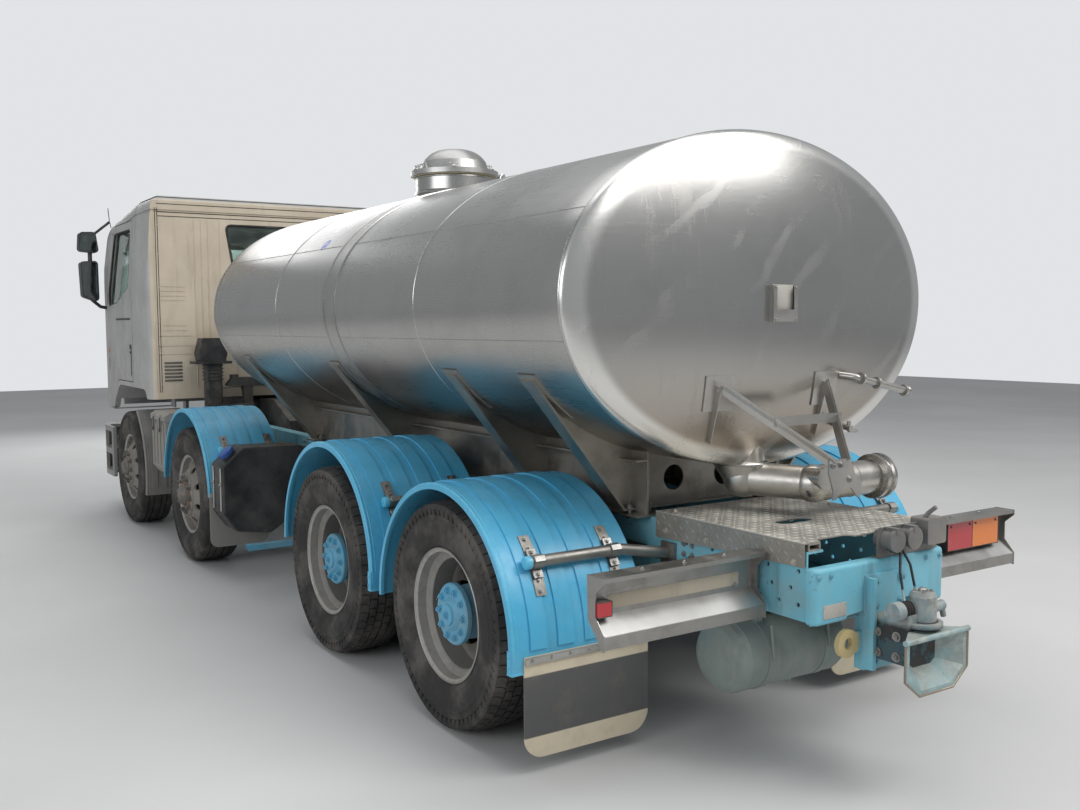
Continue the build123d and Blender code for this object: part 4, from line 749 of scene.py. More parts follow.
    def piece(self, name: str, finish: str, slot: str, body: str = "chassis", smooth: float = 38.0) -> Object:
        """Turns the mesh into a piece that rides on a body.

        Args:
            name: Name of the piece.
            finish: Name of its finish.
            slot: The record's material slot; not used.
            body: CAD body that it moves with.
            smooth: Edges flatter than this angle are shaded smooth, in degrees.

        Returns:
            The piece.
        """
        bmesh.ops.remove_doubles(self.bm, verts=self.bm.verts, dist=1e-5)
        bmesh.ops.recalc_face_normals(self.bm, faces=self.bm.faces)
        for face in self.bm.faces:
            face.smooth = True
        for edge in self.bm.edges:
            edge.smooth = len(edge.link_faces) == 2 and edge.calc_face_angle(0.0) < radians(smooth)
        data = bpy.data.meshes.new(name)
        self.bm.to_mesh(data)
        self.bm.free()
        data.materials.append(MATERIALS[finish])
        piece = placed(name, data)
        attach(piece, body)
        LOG.info("%s rides on %s", name, body)
        return piece

    def mirrored(self) -> "Mesh":
        """Copy of the mesh on the other side of the truck."""
        other = Mesh()
        other.bm = self.bm.copy()
        bmesh.ops.scale(other.bm, vec=(1, -1, 1), verts=other.bm.verts)
        return other

    def both(self) -> "Mesh":
        """Adds what was made so far to the other side of the truck too."""
        self.merge(self.mirrored())
        return self

    def pair(self, name: str, finish: str, slot: str, body: str = "chassis", smooth: float = 38.0) -> None:
        """Turns the mesh into a piece for the truck's left and one turned over for its right.

        Args:
            name: Name of the pieces, to which their side is added.
            finish: Name of their finish.
            slot: The record's material slot.
            body: CAD body that they move with, with {side} for its side.
            smooth: Edges flatter than this angle are shaded smooth, in degrees.
        """
        for (side, _), mesh in zip(SIDES, (self, self.mirrored())):
            mesh.piece(f"{name}_{side}", finish, slot, body.format(side=side), smooth)


def placed(name: str, data: bpy.types.ID) -> Object:
    """Makes an object and links it to the scene."""
    made = bpy.data.objects.new(name, data)
    bpy.context.scene.collection.objects.link(made)
    return made


def swept(points: Sequence[Point], radius: float, name: str, finish: str, slot: str, body: str = "chassis",
          bent: bool = False) -> None:
    """Makes a round rod that follows points, as a mesh from a bevelled curve.

    Args:
        points: Centreline.
        radius: Radius of the rod.
        name: Name of the piece.
        finish: Name of its finish.
        slot: The record's material slot.
        body: CAD body that it moves with.
        bent: True for a smooth curve through the run.
    """
    curve = bpy.data.curves.new(name + "_line", "CURVE")
    curve.dimensions = "3D"
    curve.bevel_depth = radius
    curve.bevel_resolution = 3
    curve.use_fill_caps = True
    spline = curve.splines.new("NURBS" if bent else "POLY")
    spline.points.add(len(points) - 1)
    for knot, point in zip(spline.points, points):
        knot.co = (*point, 1.0)
    if bent:
        spline.order_u = 3
        spline.use_endpoint_u = True
        spline.resolution_u = 8
    source = placed(name + "_source", curve)
    bpy.context.view_layer.update()
    data = bpy.data.meshes.new_from_object(source)
    bpy.data.objects.remove(source)
    bpy.data.curves.remove(curve)
    mesh = Mesh()
    mesh.bm.from_mesh(data)
    bpy.data.meshes.remove(data)
    mesh.piece(name, finish, slot, body)


def dress(**finishes: str) -> None:
    """Gives CAD nodes their finishes.

    Args:
        finishes: Each node's name and its finish.
    """
    for node, finish in finishes.items():
        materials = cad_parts[node].data.materials
        materials.clear()
        materials.append(MATERIALS[finish])


def circle(count: int) -> list[float]:
    """Angles spaced evenly round a circle, in radians."""
    return [2 * pi * i / count for i in range(count)]


def ring_of(centre: Point, axis: Axis, radius: float, count: int, start: float = 0.0) -> list[Vector]:
    """Points spaced evenly on a circle about an axis, from a start angle in degrees."""
    first = Vector((0, 0, radius)) if axis is not Axis.Z else Vector((radius, 0, 0))
    return [Vector(centre) + Matrix.Rotation(radians(start) + a, 3, axis.vector) @ first
            for a in circle(count)]


@dataclass(frozen=True)
class Corner:
    """One of the eight wheel places: its name, its CAD body, its axle's place and its side."""

    name: str
    body: str
    x: float
    side: int

    def at(self, y: float) -> Vector:
        """Point on the wheel's axis."""
        return Vector((self.x, self.side * y, HUB_Z))


@dataclass
class Wheels:
    """Tyres with moulded treads, wheel faces, nuts, hubs and valve stems."""

    track: float = 1.095
    twin: float = 0.335
    tyre_r: float = 0.512
    half_width: float = 0.1465
    bead_r: float = 0.29
    rib_grooves: tuple[float, ...] = (-0.074, -0.03, 0.03, 0.074)
    groove_width: float = 0.01
    groove_depth: float = 0.012
    lug_base_r: float = 0.4985
    lug_pitches: int = 60
    fins: int = 72
    fin_top: float = 0.472
    fin_out: float = 0.1425

    def crown(self, along: float, base: float) -> float:
        """Radius of the crown at a distance from the tyre's middle, by the radius there."""
        return base - (along / 0.112) ** 2 * 0.0052

    def sidewall(self) -> list[tuple[float, float]]:
        """Half outline of a sidewall with its moulded rings, from the bead out to the shoulder.

        Returns:
            Distances from the middle and radii.
        """
        rows = [(0.1, self.bead_r), (0.108, 0.292), (0.112, 0.3), (0.118, 0.306), (0.1275, 0.318)]
        for r in (0.326, 0.33, 0.334, 0.352, 0.355, 0.372, 0.395, 0.416, 0.419, 0.422, 0.444, 0.4465, 0.452):
            bulge = self.half_width - 0.3 * (r - 0.395) ** 2 / 0.095
            raised = 0.0016 if r in (0.33, 0.355, 0.419, 0.4465) else 0.0
            rows.append((min(bulge - 0.0014 + raised, self.half_width), r))
        return rows + [(0.14, 0.468), (0.1378, 0.476), (0.1392, 0.482), (0.134, 0.4935)]

    def profile(self, lugs: bool) -> list[tuple[float, float]]:
        """Closed outline of a tyre, with grooves for a ribbed tread or a lower crown for lugs.

        Args:
            lugs: True for the driven tyres.

        Returns:
            Distances from the middle and radii, all the way round.
        """
        left = self.sidewall()
        if lugs:
            tread = [(0.122, 0.49), (0.08, 0.4965), (0.0, self.lug_base_r), (-0.08, 0.4965), (-0.122, 0.49)]
        else:
            tread = [(0.1265, 0.5005), (0.112, self.crown(0.112, self.tyre_r))]
            for middle in sorted(self.rib_grooves, reverse=True):
                near, far = middle + self.groove_width / 2, middle - self.groove_width / 2
                floor = self.crown(middle, self.tyre_r) - self.groove_depth
                tread += [(near, self.crown(near, self.tyre_r)), (near - 0.0016, floor),
                          (far + 0.0016, floor), (far, self.crown(far, self.tyre_r))]
            tread += [(-0.112, self.crown(0.112, self.tyre_r)), (-0.1265, 0.5005)]
        right = [(-along, r) for along, r in reversed(left)]
        return left + tread + right

    def add_lugs(self, mesh: Mesh, centre: Vector) -> None:
        """Adds the driven tyre's tread blocks, cut off from each other by zigzag grooves.

        Args:
            mesh: Mesh being shaped.
            centre: Centre of the tyre.
        """
        half = pi * self.tyre_r / self.lug_pitches - 0.0032
        rows = ((-0.133, -0.09, 0.0), (-0.084, -0.048, 0.5), (-0.041, -0.006, 0.1), (0.006, 0.041, 0.6),
                (0.048, 0.084, 0.2), (0.09, 0.133, 0.7))
        blocks = Mesh()
        for near, far, phase in rows:
            shift = Matrix.Rotation(2 * pi / self.lug_pitches * phase, 4, "Y")
            top = [self.crown(near, 0.5109) - (0.0095 if near < -0.1 else 0.0),
                   self.crown(far, 0.5109) - (0.0095 if far > 0.1 else 0.0)]
            skew = 0.006
            corners = [Vector((-half - skew, near, top[0])), Vector((half - skew, near, top[0])),
                       Vector((half + skew * 0.2, (near + far) / 2, (top[0] + top[1]) / 2)),
                       Vector((half - skew * 0.4, far, top[1])), Vector((-half - skew * 0.4, far, top[1])),
                       Vector((-half + skew * 0.2, (near + far) / 2, (top[0] + top[1]) / 2))]
            blocks.plate([shift @ corner for corner in corners], shift.to_3x3() @ Vector((0, 0, -0.0155)))
        blocks.copied([Matrix.Rotation(a, 4, "Y") for a in circle(self.lug_pitches)[1:]])
        bmesh.ops.translate(blocks.bm, verts=blocks.bm.verts, vec=centre)
        mesh.merge(blocks)

    def add_fins(self, mesh: Mesh, centre: Vector, low: float) -> None:
        """Adds short radial fins round both shoulders of a tyre.

        Args:
            mesh: Mesh being shaped.
            centre: Centre of the tyre.
            low: Radius where a fin starts.
        """
        fins = Mesh()
        high = self.fin_top
        for sign in (1, -1):
            fins.box((0, sign * (self.fin_out - 0.004), (low + high) / 2), (0.006, 0.008, high - low))
        fins.copied([Matrix.Rotation(a, 4, "Y") for a in circle(self.fins)[1:]])
        bmesh.ops.translate(fins.bm, verts=fins.bm.verts, vec=centre)
        mesh.merge(fins)

    def tyre(self, wheel: Corner, driven: bool) -> None:
        """Makes the tyres of one wheel and hides the CAD ones.

        Args:
            wheel: Where the tyres go.
            driven: True for twin tyres with lugs.
        """
        mesh = Mesh()
        for y in (self.track, self.track - self.twin)[:2 if driven else 1]:
            centre = wheel.at(y)
            mesh.turned(self.profile(driven), centre, Axis.Y, 120, True)
            if driven:
                self.add_lugs(mesh, centre)
            self.add_fins(mesh, centre, 0.449 if driven else 0.456)
        name, node = ("driven_tyres", "tyres") if driven else ("steered_tyre", "tyre")
        piece = mesh.piece(f"{name}_{wheel.name}", "tyre_rubber", "tyre", wheel.body, 34.0)
        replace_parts(piece, f"{node}_{wheel.name}")

    def nuts(self, wheel: Corner, y: float, radius: float, height: float, start: float) -> None:
        """Makes the ring of ten wheel nuts.

        Args:
            wheel: Where the nuts go.
            y: Distance of their seat from the centreline.
            radius: Radius of the ring.
            height: Height of a nut.
            start: Angle of the first nut.
        """
        nuts = Mesh()
        for at in ring_of(wheel.at(y), Axis.Y, radius, 10, start):
            nuts.nut(at, OUT * wheel.side, 0.036, height)
        nuts.piece(f"wheel_nuts_{wheel.name}", "nut_steel", "rim_grey", wheel.body)

    def steered_face(self, wheel: Corner) -> None:
        """Makes a steered wheel's nuts, hub cap, hub bolts and valve.

        Args:
            wheel: Where they go.
        """
        side, out = wheel.side, OUT * wheel.side
        self.nuts(wheel, 1.243, 0.132, 0.024, 12.0)
        cap = Mesh()
        start = wheel.at(1.2545)
        outline = [(0.0, 0.0005), (0.0, 0.081), (side * 0.012, 0.08), (side * 0.02, 0.074),
                   (side * 0.026, 0.06), (side * 0.034, 0.054), (side * 0.04, 0.046), (side * 0.042, 0.0005)]
        cap.turned(outline, start, Axis.Y, 48, True)
        for at in ring_of(start + out * 0.018, Axis.Y, 0.067, 8):
            cap.nut(at, out, 0.013, 0.007, True)
        cap.piece(f"hub_cap_{wheel.name}", "hub_cast", "rim_grey", wheel.body)
        self.rim_edge(wheel)
        self.valve(wheel, 1.155)

    def rim_edge(self, wheel: Corner) -> None:
        """Makes the rolled edge of a rim's outer flange.

        Args:
            wheel: Where it goes.
        """
        ring = Mesh()
        outline = [(0.0048 * cos(a), 0.2965 + 0.0048 * sin(a)) for a in circle(10)]
        ring.turned(outline, wheel.at(self.track + 0.1165), Axis.Y, 96, True)
        ring.piece(f"rim_edge_{wheel.name}", "rim_edge", "rim_grey", wheel.body)

    def valve(self, wheel: Corner, y: float) -> None:
        """Makes a bent valve stem with its cap.

        Args:
            wheel: Where it goes.
            y: Distance of its foot from the centreline.
        """
        bends = ((0.235, -0.03, 0.02), (0.236, 0.012, 0.02), (0.214, 0.045, 0.018), (0.206, 0.085, 0.017))
        points = [wheel.at(y + dy) + Vector((dx, 0, dz)) for dx, dy, dz in bends]
        swept(points, 0.0042, f"valve_{wheel.name}", "nut_steel", "rim_grey", wheel.body, True)

    def driven_face(self, wheel: Corner) -> None:
        """Makes a driven wheel's nuts, hub flange bolts, hub end and valve.

        Args:
            wheel: Where they go.
        """
        side, out = wheel.side, OUT * wheel.side
        self.nuts(wheel, 0.941, 0.152, 0.026, 8.0)
        hub = Mesh()
        for at in ring_of(wheel.at(1.1785), Axis.Y, 0.105, 10, 18.0):
            hub.nut(at, out, 0.03, 0.017)
        hub.turned([(0.0, 0.0575), (0.0, 0.05), (side * 0.01, 0.046), (side * 0.013, 0.03),
                    (side * 0.014, 0.0005), (side * -0.004, 0.0005), (side * -0.004, 0.0575)],
                   wheel.at(1.195), Axis.Y, 40, True)
        hub.nut(wheel.at(1.2085), out, 0.03, 0.012)
        for at in ring_of(wheel.at(1.166), Axis.Y, 0.1335, 20):
            hub.ball(at, 0.0065, sides=8)
        hub.piece(f"hub_bolts_{wheel.name}", "hub_blue", "hub_blue", wheel.body)
        self.rim_edge(wheel)
        self.valve(wheel, 1.06)

    def build(self) -> None:
        """Makes every wheel's pieces and dresses the rims, knuckles and axles."""
        for axle, x, driven in AXLES:
            for side_name, side in SIDES:
                name, look = f"{axle}_{side_name}", f"wheel_{axle}"
                wheel = Corner(name, f"wheel_{name}", x, side)
                self.tyre(wheel, driven)
                if driven:
                    self.driven_face(wheel)
                    dress(**{f"rims_{name}": look})
                else:
                    self.steered_face(wheel)
                    dress(**{f"rim_{name}": look, f"knuckle_{name}": "axle_black"})
        dress(front_axles="axle_black", rear_axles="axle_black")


@dataclass
class Tank:
    """Polished barrel with its welds and bands, neck, manlid, outlet and the saddles that carry it."""

    centre_z: float = 1.896
    half_height: float = 0.729
    half_width: float = 1.075
    rear: float = -3.608
    front: float = 0.933
    dish: float = 0.13
    crown_r: float = 0.656
    seams: tuple[float, ...] = (-3.594, -2.351, -0.407, 0.919)
    band: tuple[float, float] = (-1.37, -1.2)
    manlid_x: float = -0.83
    neck_r: float = 0.25
    neck_top: float = 2.742
    outlet_x: float = -3.845
    outlet_z: float = 1.103
    saddles: tuple[float, ...] = (-3.2, -2.52, -1.1, 0.52)
    hopper: Point = (-3.535, 0.048, 0.0)
    tap: tuple[float, float] = (-3.782, 1.4725)

    def head(self, sign: int) -> list[tuple[float, float]]:
        """Outline of a dished end with its rounded knuckle, from the crown's middle out to the barrel.

        Args:
            sign: -1 for the rear end, 1 for the front.

        Returns:
            Places along X and radii.
        """
        edge = self.front if sign > 0 else self.rear
        tip = edge + sign * self.dish
        fall = (self.dish - 0.039) / self.crown_r ** 2
        rows = [(tip - sign * fall * r * r, r) for r in (0.0004, 0.02, 0.05, 0.09, 0.14, 0.2, 0.26, 0.32,
                                                         0.38, 0.44, 0.5, 0.55, 0.6, 0.635, 0.656)]
        knee, bend = rows[-1], (edge + sign * 0.0192, self.half_height)
        end = (edge - sign * 0.008, self.half_height)
        for i in range(1, 9):
            t = i / 8
            a, b, c = (1 - t) ** 2, 2 * t * (1 - t), t * t
            rows.append(tuple(a * p + b * q + c * r for p, q, r in zip(knee, bend, end)))
        return rows

    def widened(self, mesh: Mesh) -> Mesh:
        """Draws a round shape about the tank's axis out to the oval."""
        bmesh.ops.scale(mesh.bm, vec=(1, self.half_width / self.half_height, 1), verts=mesh.bm.verts)
        return mesh

    def barrel(self) -> None:
        """Makes the barrel, its ends, the open neck with its rolled rim and the hinge ears."""
        axis = (0, 0, self.centre_z)
        run = [(self.rear + 0.008 + (self.front - self.rear - 0.016) * i / 30, self.half_height)
               for i in range(1, 30)]
        shell = Mesh()
        shell.turned(self.head(-1) + run + self.head(1)[::-1], axis, Axis.X, 224)
        self.widened(shell)
        top = self.neck_top
        rim = ((2.6, -0.008), (top - 0.006, -0.008), (top - 0.0015, -0.0045), (top, 0.0),
               (top - 0.0015, 0.0055), (top - 0.007, 0.008), (top - 0.0125, 0.0055), (top - 0.015, 0.0005),
               (2.64, 0.0), (2.6, 0.0))
        neck = [(z, self.neck_r + out) for z, out in rim]
        shell.turned(neck, (self.manlid_x, 0, 0), Axis.Z, 96, True)
        for offset in (-0.065, 0.055):
            x = self.manlid_x + offset
            ear = [(x, y, z) for y, z in ((-0.24, 2.66), (-0.24, 2.722), (-0.296, 2.738), (-0.318, 2.786),
                                          (-0.346, 2.786), (-0.346, 2.75), (-0.268, 2.66))]
            shell.plate(ear, Vector((0.01, 0, 0)), 0.0015)
        shell.rod((self.manlid_x - 0.07, -0.33, 2.77), (self.manlid_x + 0.07, -0.33, 2.77), 0.008,
                  sides=20, bevel=0.0012)
        for end in (-0.074, 0.07):
            shell.rod((self.manlid_x + end, -0.33, 2.77), (self.manlid_x + end + 0.004, -0.33, 2.77), 0.013)
        piece = shell.piece("tank_barrel", "tank_steel", "stainless", smooth=26.0)
        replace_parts(piece, "tank_shell")

    def welds(self) -> None:
        """Makes the seams round the barrel, the doubled band, and the lengthwise seams."""
        r = self.half_height
        seams = Mesh()
        for x in self.seams:
            seams.turned([(x - 0.007, r - 0.001), (x - 0.004, r + 0.0012), (x, r + 0.0018),
                          (x + 0.004, r + 0.0012), (x + 0.007, r - 0.001)], (0, 0, self.centre_z),
                         Axis.X, 160, True)
        self.widened(seams).piece("tank_seams", "seam_steel", "stainless", smooth=50.0)
        low, high = self.band
        band = Mesh()
        for a, b in ((low, low + 0.022), (high - 0.022, high)):
            band.turned([(a, r - 0.001), (a + 0.0015, r + 0.0035), (b - 0.0015, r + 0.0035), (b, r - 0.001)],
                        (0, 0, self.centre_z), Axis.X, 160, True)
        band.turned([(low + 0.021, r - 0.001), (low + 0.022, r + 0.0015), (high - 0.022, r + 0.0015),
                     (high - 0.021, r - 0.001)], (0, 0, self.centre_z), Axis.X, 160, True)
        self.widened(band).piece("tank_band", "band_steel", "stainless", smooth=30.0)
        lines = Mesh()
        for z in (1.725, 2.25):
            y = self.half_width * (1 - ((z - self.centre_z) / r) ** 2) ** 0.5
            lines.rod((self.rear + 0.02, y, z), (self.front - 0.02, y, z), 0.0022, sides=8)
        lines.both().piece("tank_side_seams", "seam_steel", "stainless")
        bead = Mesh()
        outline = [(2.6236, 0.243), (2.629, 0.262), (2.642, 0.258), (2.65, 0.2515), (2.65, 0.243)]
        bead.turned(outline, (self.manlid_x, 0, 0), Axis.Z, 96, True)
        bead.piece("neck_weld", "seam_steel", "stainless", smooth=60.0)

    def manlid(self) -> None:
        """Makes the lid's rope seal, clamps, lifting handle and vent, and dresses the lid."""
        dress(manlid="lid_metal")
        seal = Mesh()
        outline = [(2.747 + 0.0058 * sin(a), 0.256 + 0.0085 * cos(a)) for a in circle(12)]
        seal.turned(outline, (self.manlid_x, 0, 0), Axis.Z, 120, True)
        seal.piece("manlid_seal", "cream_rope", "flap", smooth=70.0)
        brim = (self.manlid_x, 0, 2.778)
        fixings = Mesh()
        for at in ring_of(brim, Axis.Z, 0.262, 6, 30.0):
            away = (at - Vector(brim)).normalized()
            turn = Matrix.Rotation(atan2(away.y, away.x), 3, "Z")
            fixings.box(at + Vector((0, 0, 0.002)), (0.05, 0.03, 0.008), turn, 0.002)
            fixings.rod(at - Vector((0, 0, 0.034)), at + Vector((0, 0, 0.028)), 0.006, sides=12)
            fixings.nut(at + Vector((0, 0, 0.006)), UP, 0.022, 0.011, True)
            for wing in (1, -1):
                tip = at + turn @ Vector((0, wing * 0.02, 0.024))
                fixings.ball(tip, 0.006, (0.7, 1.5, 1.0), 10)
        fixings.turned([(2.872, 0.0005), (2.872, 0.06), (2.88, 0.062), (2.89, 0.058), (2.902, 0.04),
                        (2.912, 0.0005)], (self.manlid_x, 0, 0), Axis.Z, 40)
        for ring in (0.226, 0.214):
            fixings.turned([(2.779 + (0.228 - ring) * 2, ring - 0.0022), (2.7815 + (0.228 - ring) * 2, ring),
                            (2.779 + (0.228 - ring) * 2, ring + 0.0022)], (self.manlid_x, 0, 0),
                           Axis.Z, 80, True)
        fixings.piece("manlid_fixings", "lid_metal", "galvanised", "manlid")
        grip = [(self.manlid_x - 0.07, 0.235, 2.776), (self.manlid_x - 0.07, 0.245, 2.812),
                (self.manlid_x + 0.07, 0.245, 2.812), (self.manlid_x + 0.07, 0.235, 2.776)]
        swept(grip, 0.006, "manlid_grip", "lid_metal", "galvanised", "manlid")

    def outlet(self) -> None:
        """Makes the outlet's clamp, weld rings, screw collar teeth and a near-black painted-shade liner in
        its throat, and dresses the pipe.
        """
        dress(outlet_pipe="pipe_steel")
        x, z = self.outlet_x, self.outlet_z
        rings = Mesh()
        for y in (-0.15, -0.3, -0.455):
            rings.turned([(y - 0.005, 0.0755), (y - 0.002, 0.0785), (y + 0.002, 0.0785), (y + 0.005, 0.0755)],
                         (x, 0, z), Axis.Y, 60, True)
        for at in ring_of((x, -0.4745, z), Axis.Y, 0.094, 12):
            turn = Matrix.Rotation(atan2((at.x - x), (at.z - z)), 3, "Y")
            rings.box(at, (0.016, 0.012, 0.01), turn, 0.0015, 1)
        rings.turned([(-0.5105, 0.069), (-0.5105, 0.099), (-0.5125, 0.1005), (-0.5135, 0.098),
                      (-0.5135, 0.071)], (x, 0, z), Axis.Y, 72, True)
        rings.piece("outlet_rings", "seam_steel", "stainless")
        # Painted shade: a near-black liner and end plug fill the pipe's bore.
        throat = Mesh()
        throat.turned([(-0.485, 0.0672), (-0.3, 0.0672), (-0.296, 0.04), (-0.293, 0.0005)],
                      (x, 0, z), Axis.Y, 48)
        throat.piece("outlet_throat", "dark_hollow", "black_plastic")
        hopper = Mesh()
        hopper.turned([(1.166, 0.118), (1.17, 0.122), (1.175, 0.124), (1.18, 0.12), (1.176, 0.112)],
                      self.hopper, Axis.Z, 56, True)
        hopper.piece("hopper_weld", "seam_steel", "stainless", smooth=60.0)

    def fittings(self) -> None:
        """Dresses the rest, tap and holder, and adds their plate, rivets and bolts."""
        dress(tank_fittings="fitting_steel")
        plate = Mesh()
        plate.box((-3.7435, 0.012, 1.886), (0.0024, 0.122, 0.14), bevel=0.001)
        plate.piece("holder_plate", "pale_plate", "alu_tank")
        bolts = Mesh()
        for y, z in ((-0.048, 1.808), (0.072, 1.808), (-0.048, 1.944), (0.072, 1.944)):
            bolts.nut((-3.7638, y, z), REAR, 0.01, 0.003, True)
        for y, z in ((-0.006, 1.214), (0.04, 1.214), (-0.06, 1.15)):
            bolts.nut((-4.0585, y, z), REAR, 0.024, 0.011)
        bolts.piece("fitting_bolts", "bolt_steel", "galvanised")
        cap = Mesh()
        x, z = self.tap
        cap.turned([(-0.7605, 0.0005), (-0.7605, 0.02), (-0.766, 0.024), (-0.778, 0.024), (-0.782, 0.02),
                    (-0.782, 0.0005)], (x, 0, z), Axis.Y, 32)
        for at in ring_of((x, -0.772, z), Axis.Y, 0.0245, 10):
            cap.ball(at, 0.0035, (1, 1.6, 1), 8)
        cap.piece("tap_cap", "bolt_steel", "galvanised")

    def carriers(self) -> None:
        """Dresses the saddles and adds their bolts with washers, and their bolted straps."""
        dress(tank_saddles="saddle_steel")
        bolts = Mesh()
        for x in self.saddles:
            for dx in (-0.028, 0.028):
                for y in (0.32, 0.436):
                    bolts.nut((x + dx, y, 0.96), UP, 0.026, 0.014)
                    bolts.rod((x + dx, y, 0.925), (x + dx, y, 0.962), 0.008, sides=10)
        bolts.both().piece("saddle_bolts", "bolt_steel", "galvanised")
        straps = Mesh()
        for x in self.saddles[:3]:
            straps.box((x, 0.394, 1.02), (0.06, 0.006, 0.11), bevel=0.002)
            for dx in (-0.02, 0.02):
                straps.nut((x + dx, 0.397, 1.045), OUT, 0.02, 0.01)
        straps.both().piece("saddle_straps", "saddle_steel", "stainless")

    def build(self) -> None:
        """Makes and dresses everything that belongs to the tank."""
        self.barrel()
        self.welds()
        self.manlid()
        self.outlet()
        self.fittings()
        self.carriers()


@dataclass(frozen=True)
class Arch:
    """Place and size of one pair of guards."""

    name: str
    x: float
    z: float
    radius: float
    start: float
    end: float
    inner: float
    outer: float
    tubes: tuple[float, ...]
    clamps: tuple[float, float]
    dusty: bool = False

    def at(self, angle: float, out: float, y: float) -> Vector:
        """Point at an angle in degrees from +X, a distance out from the guard's axis, and a place across."""
        return Vector((self.x + out * cos(radians(angle)), y, self.z + out * sin(radians(angle))))


@dataclass
class Guards:
    """Wheel guards with lips lightened as a painted highlight, clamped tubes, strap bolts, end caps and
    mudflaps.
    """

    arches: tuple[Arch, ...] = (
        Arch("third", -1.575, 0.545, 0.618, 0.0, 184.0, 0.585, 1.248, (33.0, 147.0), (0.7, 1.085)),
        Arch("fourth", -2.9, 0.482, 0.618, 0.0, 184.0, 0.585, 1.248, (33.0, 147.0), (0.7, 1.085)),
        Arch("second", 1.23, 0.525, 0.64, 4.0, 176.0, 0.7, 1.245, (33.0, 147.0), (0.76, 1.085)),
        Arch("first", 3.155, 0.512, 0.668, 125.0, 196.0, 0.86, 1.24, (150.0,), (0.92, 1.085), True),
    )
    tube_r: float = 0.025
    rib_rise: float = 0.007

    def lip(self, arch: Arch) -> None:
        """Makes the rolled outer lip and the fine inner bead of a pair of guards.

        Args:
            arch: The guards.
        """
        edge = Mesh()
        for y, r, wide, high, count in ((0.009, 0.009, 0.0088, 0.0125, 12),
                                        (0.0265, 0.0015, 0.004, 0.0032, 8)):
            outline = [(arch.outer - y + wide * cos(a), arch.radius - r + high * sin(a))
                       for a in circle(count)]
            edge.arched(outline, (arch.x, 0, arch.z), arch.start + 0.3, arch.end - 0.3)
        edge.pair(f"guard_lip_{arch.name}", "guard_grey" if arch.dusty else "guard_lip",
                  "blue_plastic", smooth=50.0)

    def clamp(self, mesh: Mesh, arch: Arch, angle: float, y: float) -> None:
        """Adds a tube clamp's saddle, its cross bolts and the strap's bolts.

        Args:
            mesh: Mesh being shaped.
            arch: The guard.
            angle: Angle of the tube.
            y: Middle of the clamp.
        """
        top = arch.radius + self.rib_rise + 0.0052
        for step in (-10.2, -6.4, 6.4, 10.2):
            out = arch.at(angle + step, 1.0, 0) - arch.at(angle + step, 0.0, 0)
            mesh.nut(arch.at(angle + step, top, y), out, 0.019 if abs(step) > 8 else 0.013, 0.009)
        turn = Matrix.Rotation(radians(90 - angle), 3, "Y")
        centre = arch.at(angle, top + self.tube_r, y)
        for sign in (1, -1):
            mesh.box(centre + turn @ Vector((sign * 0.046, 0, -0.018)), (0.034, 0.046, 0.006),
                     turn, 0.0015, 1)
            mesh.nut(centre + turn @ Vector((sign * 0.048, 0, -0.015)), turn @ UP, 0.02, 0.01)
        mesh.box(centre + turn @ Vector((0, 0, 0.0305)), (0.026, 0.05, 0.006), turn, 0.0015, 1)

    def brackets(self) -> None:
        """Makes the clamps' bolts and the tubes' end caps, and dresses the tubes."""
        dress(guard_brackets="tube_galvanised")
        bolts, caps = Mesh(), Mesh()
        for arch in self.arches:
            for angle in arch.tubes:
                for y in arch.clamps:
                    self.clamp(bolts, arch, angle, y)
                end = arch.at(angle, arch.radius + self.rib_rise + 0.005 + self.tube_r, 1.118)
                caps.turned([(0.0, self.tube_r), (0.0, 0.0272), (0.02, 0.0272), (0.026, 0.0245),
                             (0.0285, 0.016), (0.029, 0.0005)], end, Axis.Y, 32)
        bolts.pair("guard_clamps", "bolt_steel", "galvanised")
        caps.pair("tube_caps", "guard_lip", "blue_plastic", smooth=50.0)

    def feet(self) -> None:
        """Makes the screws and moulded ribs of the driven guards' foot blocks."""
        feet = Mesh()
        for arch in self.arches[:2]:
            x = arch.x - arch.radius + 0.016
            feet.box((x, 1.2235, arch.z - 0.066), (0.04, 0.056, 0.012), bevel=0.003)
            feet.box((x, 1.25, arch.z - 0.02), (0.024, 0.006, 0.07), bevel=0.002)
            for dz in (0.002, -0.04):
                feet.nut((x, 1.2515, arch.z + dz), OUT, 0.012, 0.005, True)
        feet.pair("guard_feet", "guard_lip", "blue_plastic")

    def flaps(self) -> None:
        """Makes the flaps' clamping strips with their bolts, and dresses the flaps."""
        dress(mudflaps="flap_rubber")
        strips = Mesh()
        for x, y0, y1, z, count in ((-3.5315, 0.571, 1.195, 0.464, 7), (0.5755, 0.82, 1.245, 0.585, 5)):
            for dx in (-0.0015, 0.0105):
                strips.box((x + dx, (y0 + y1) / 2, z), (0.003, y1 - y0, 0.03), bevel=0.001)
            for i in range(count):
                y = y0 + 0.035 + (y1 - y0 - 0.07) * i / (count - 1)
                strips.nut((x - 0.003, y, z), REAR, 0.017, 0.007)
        strips.pair("flap_strips", "strip_steel", "stainless")

    def build(self) -> None:
        """Makes and dresses the guards, their tubes and the flaps."""
        dress(rear_guards="guard_blue", front_guards="front_guard")
        for arch in self.arches:
            self.lip(arch)
        self.brackets()
        self.feet()
        self.flaps()


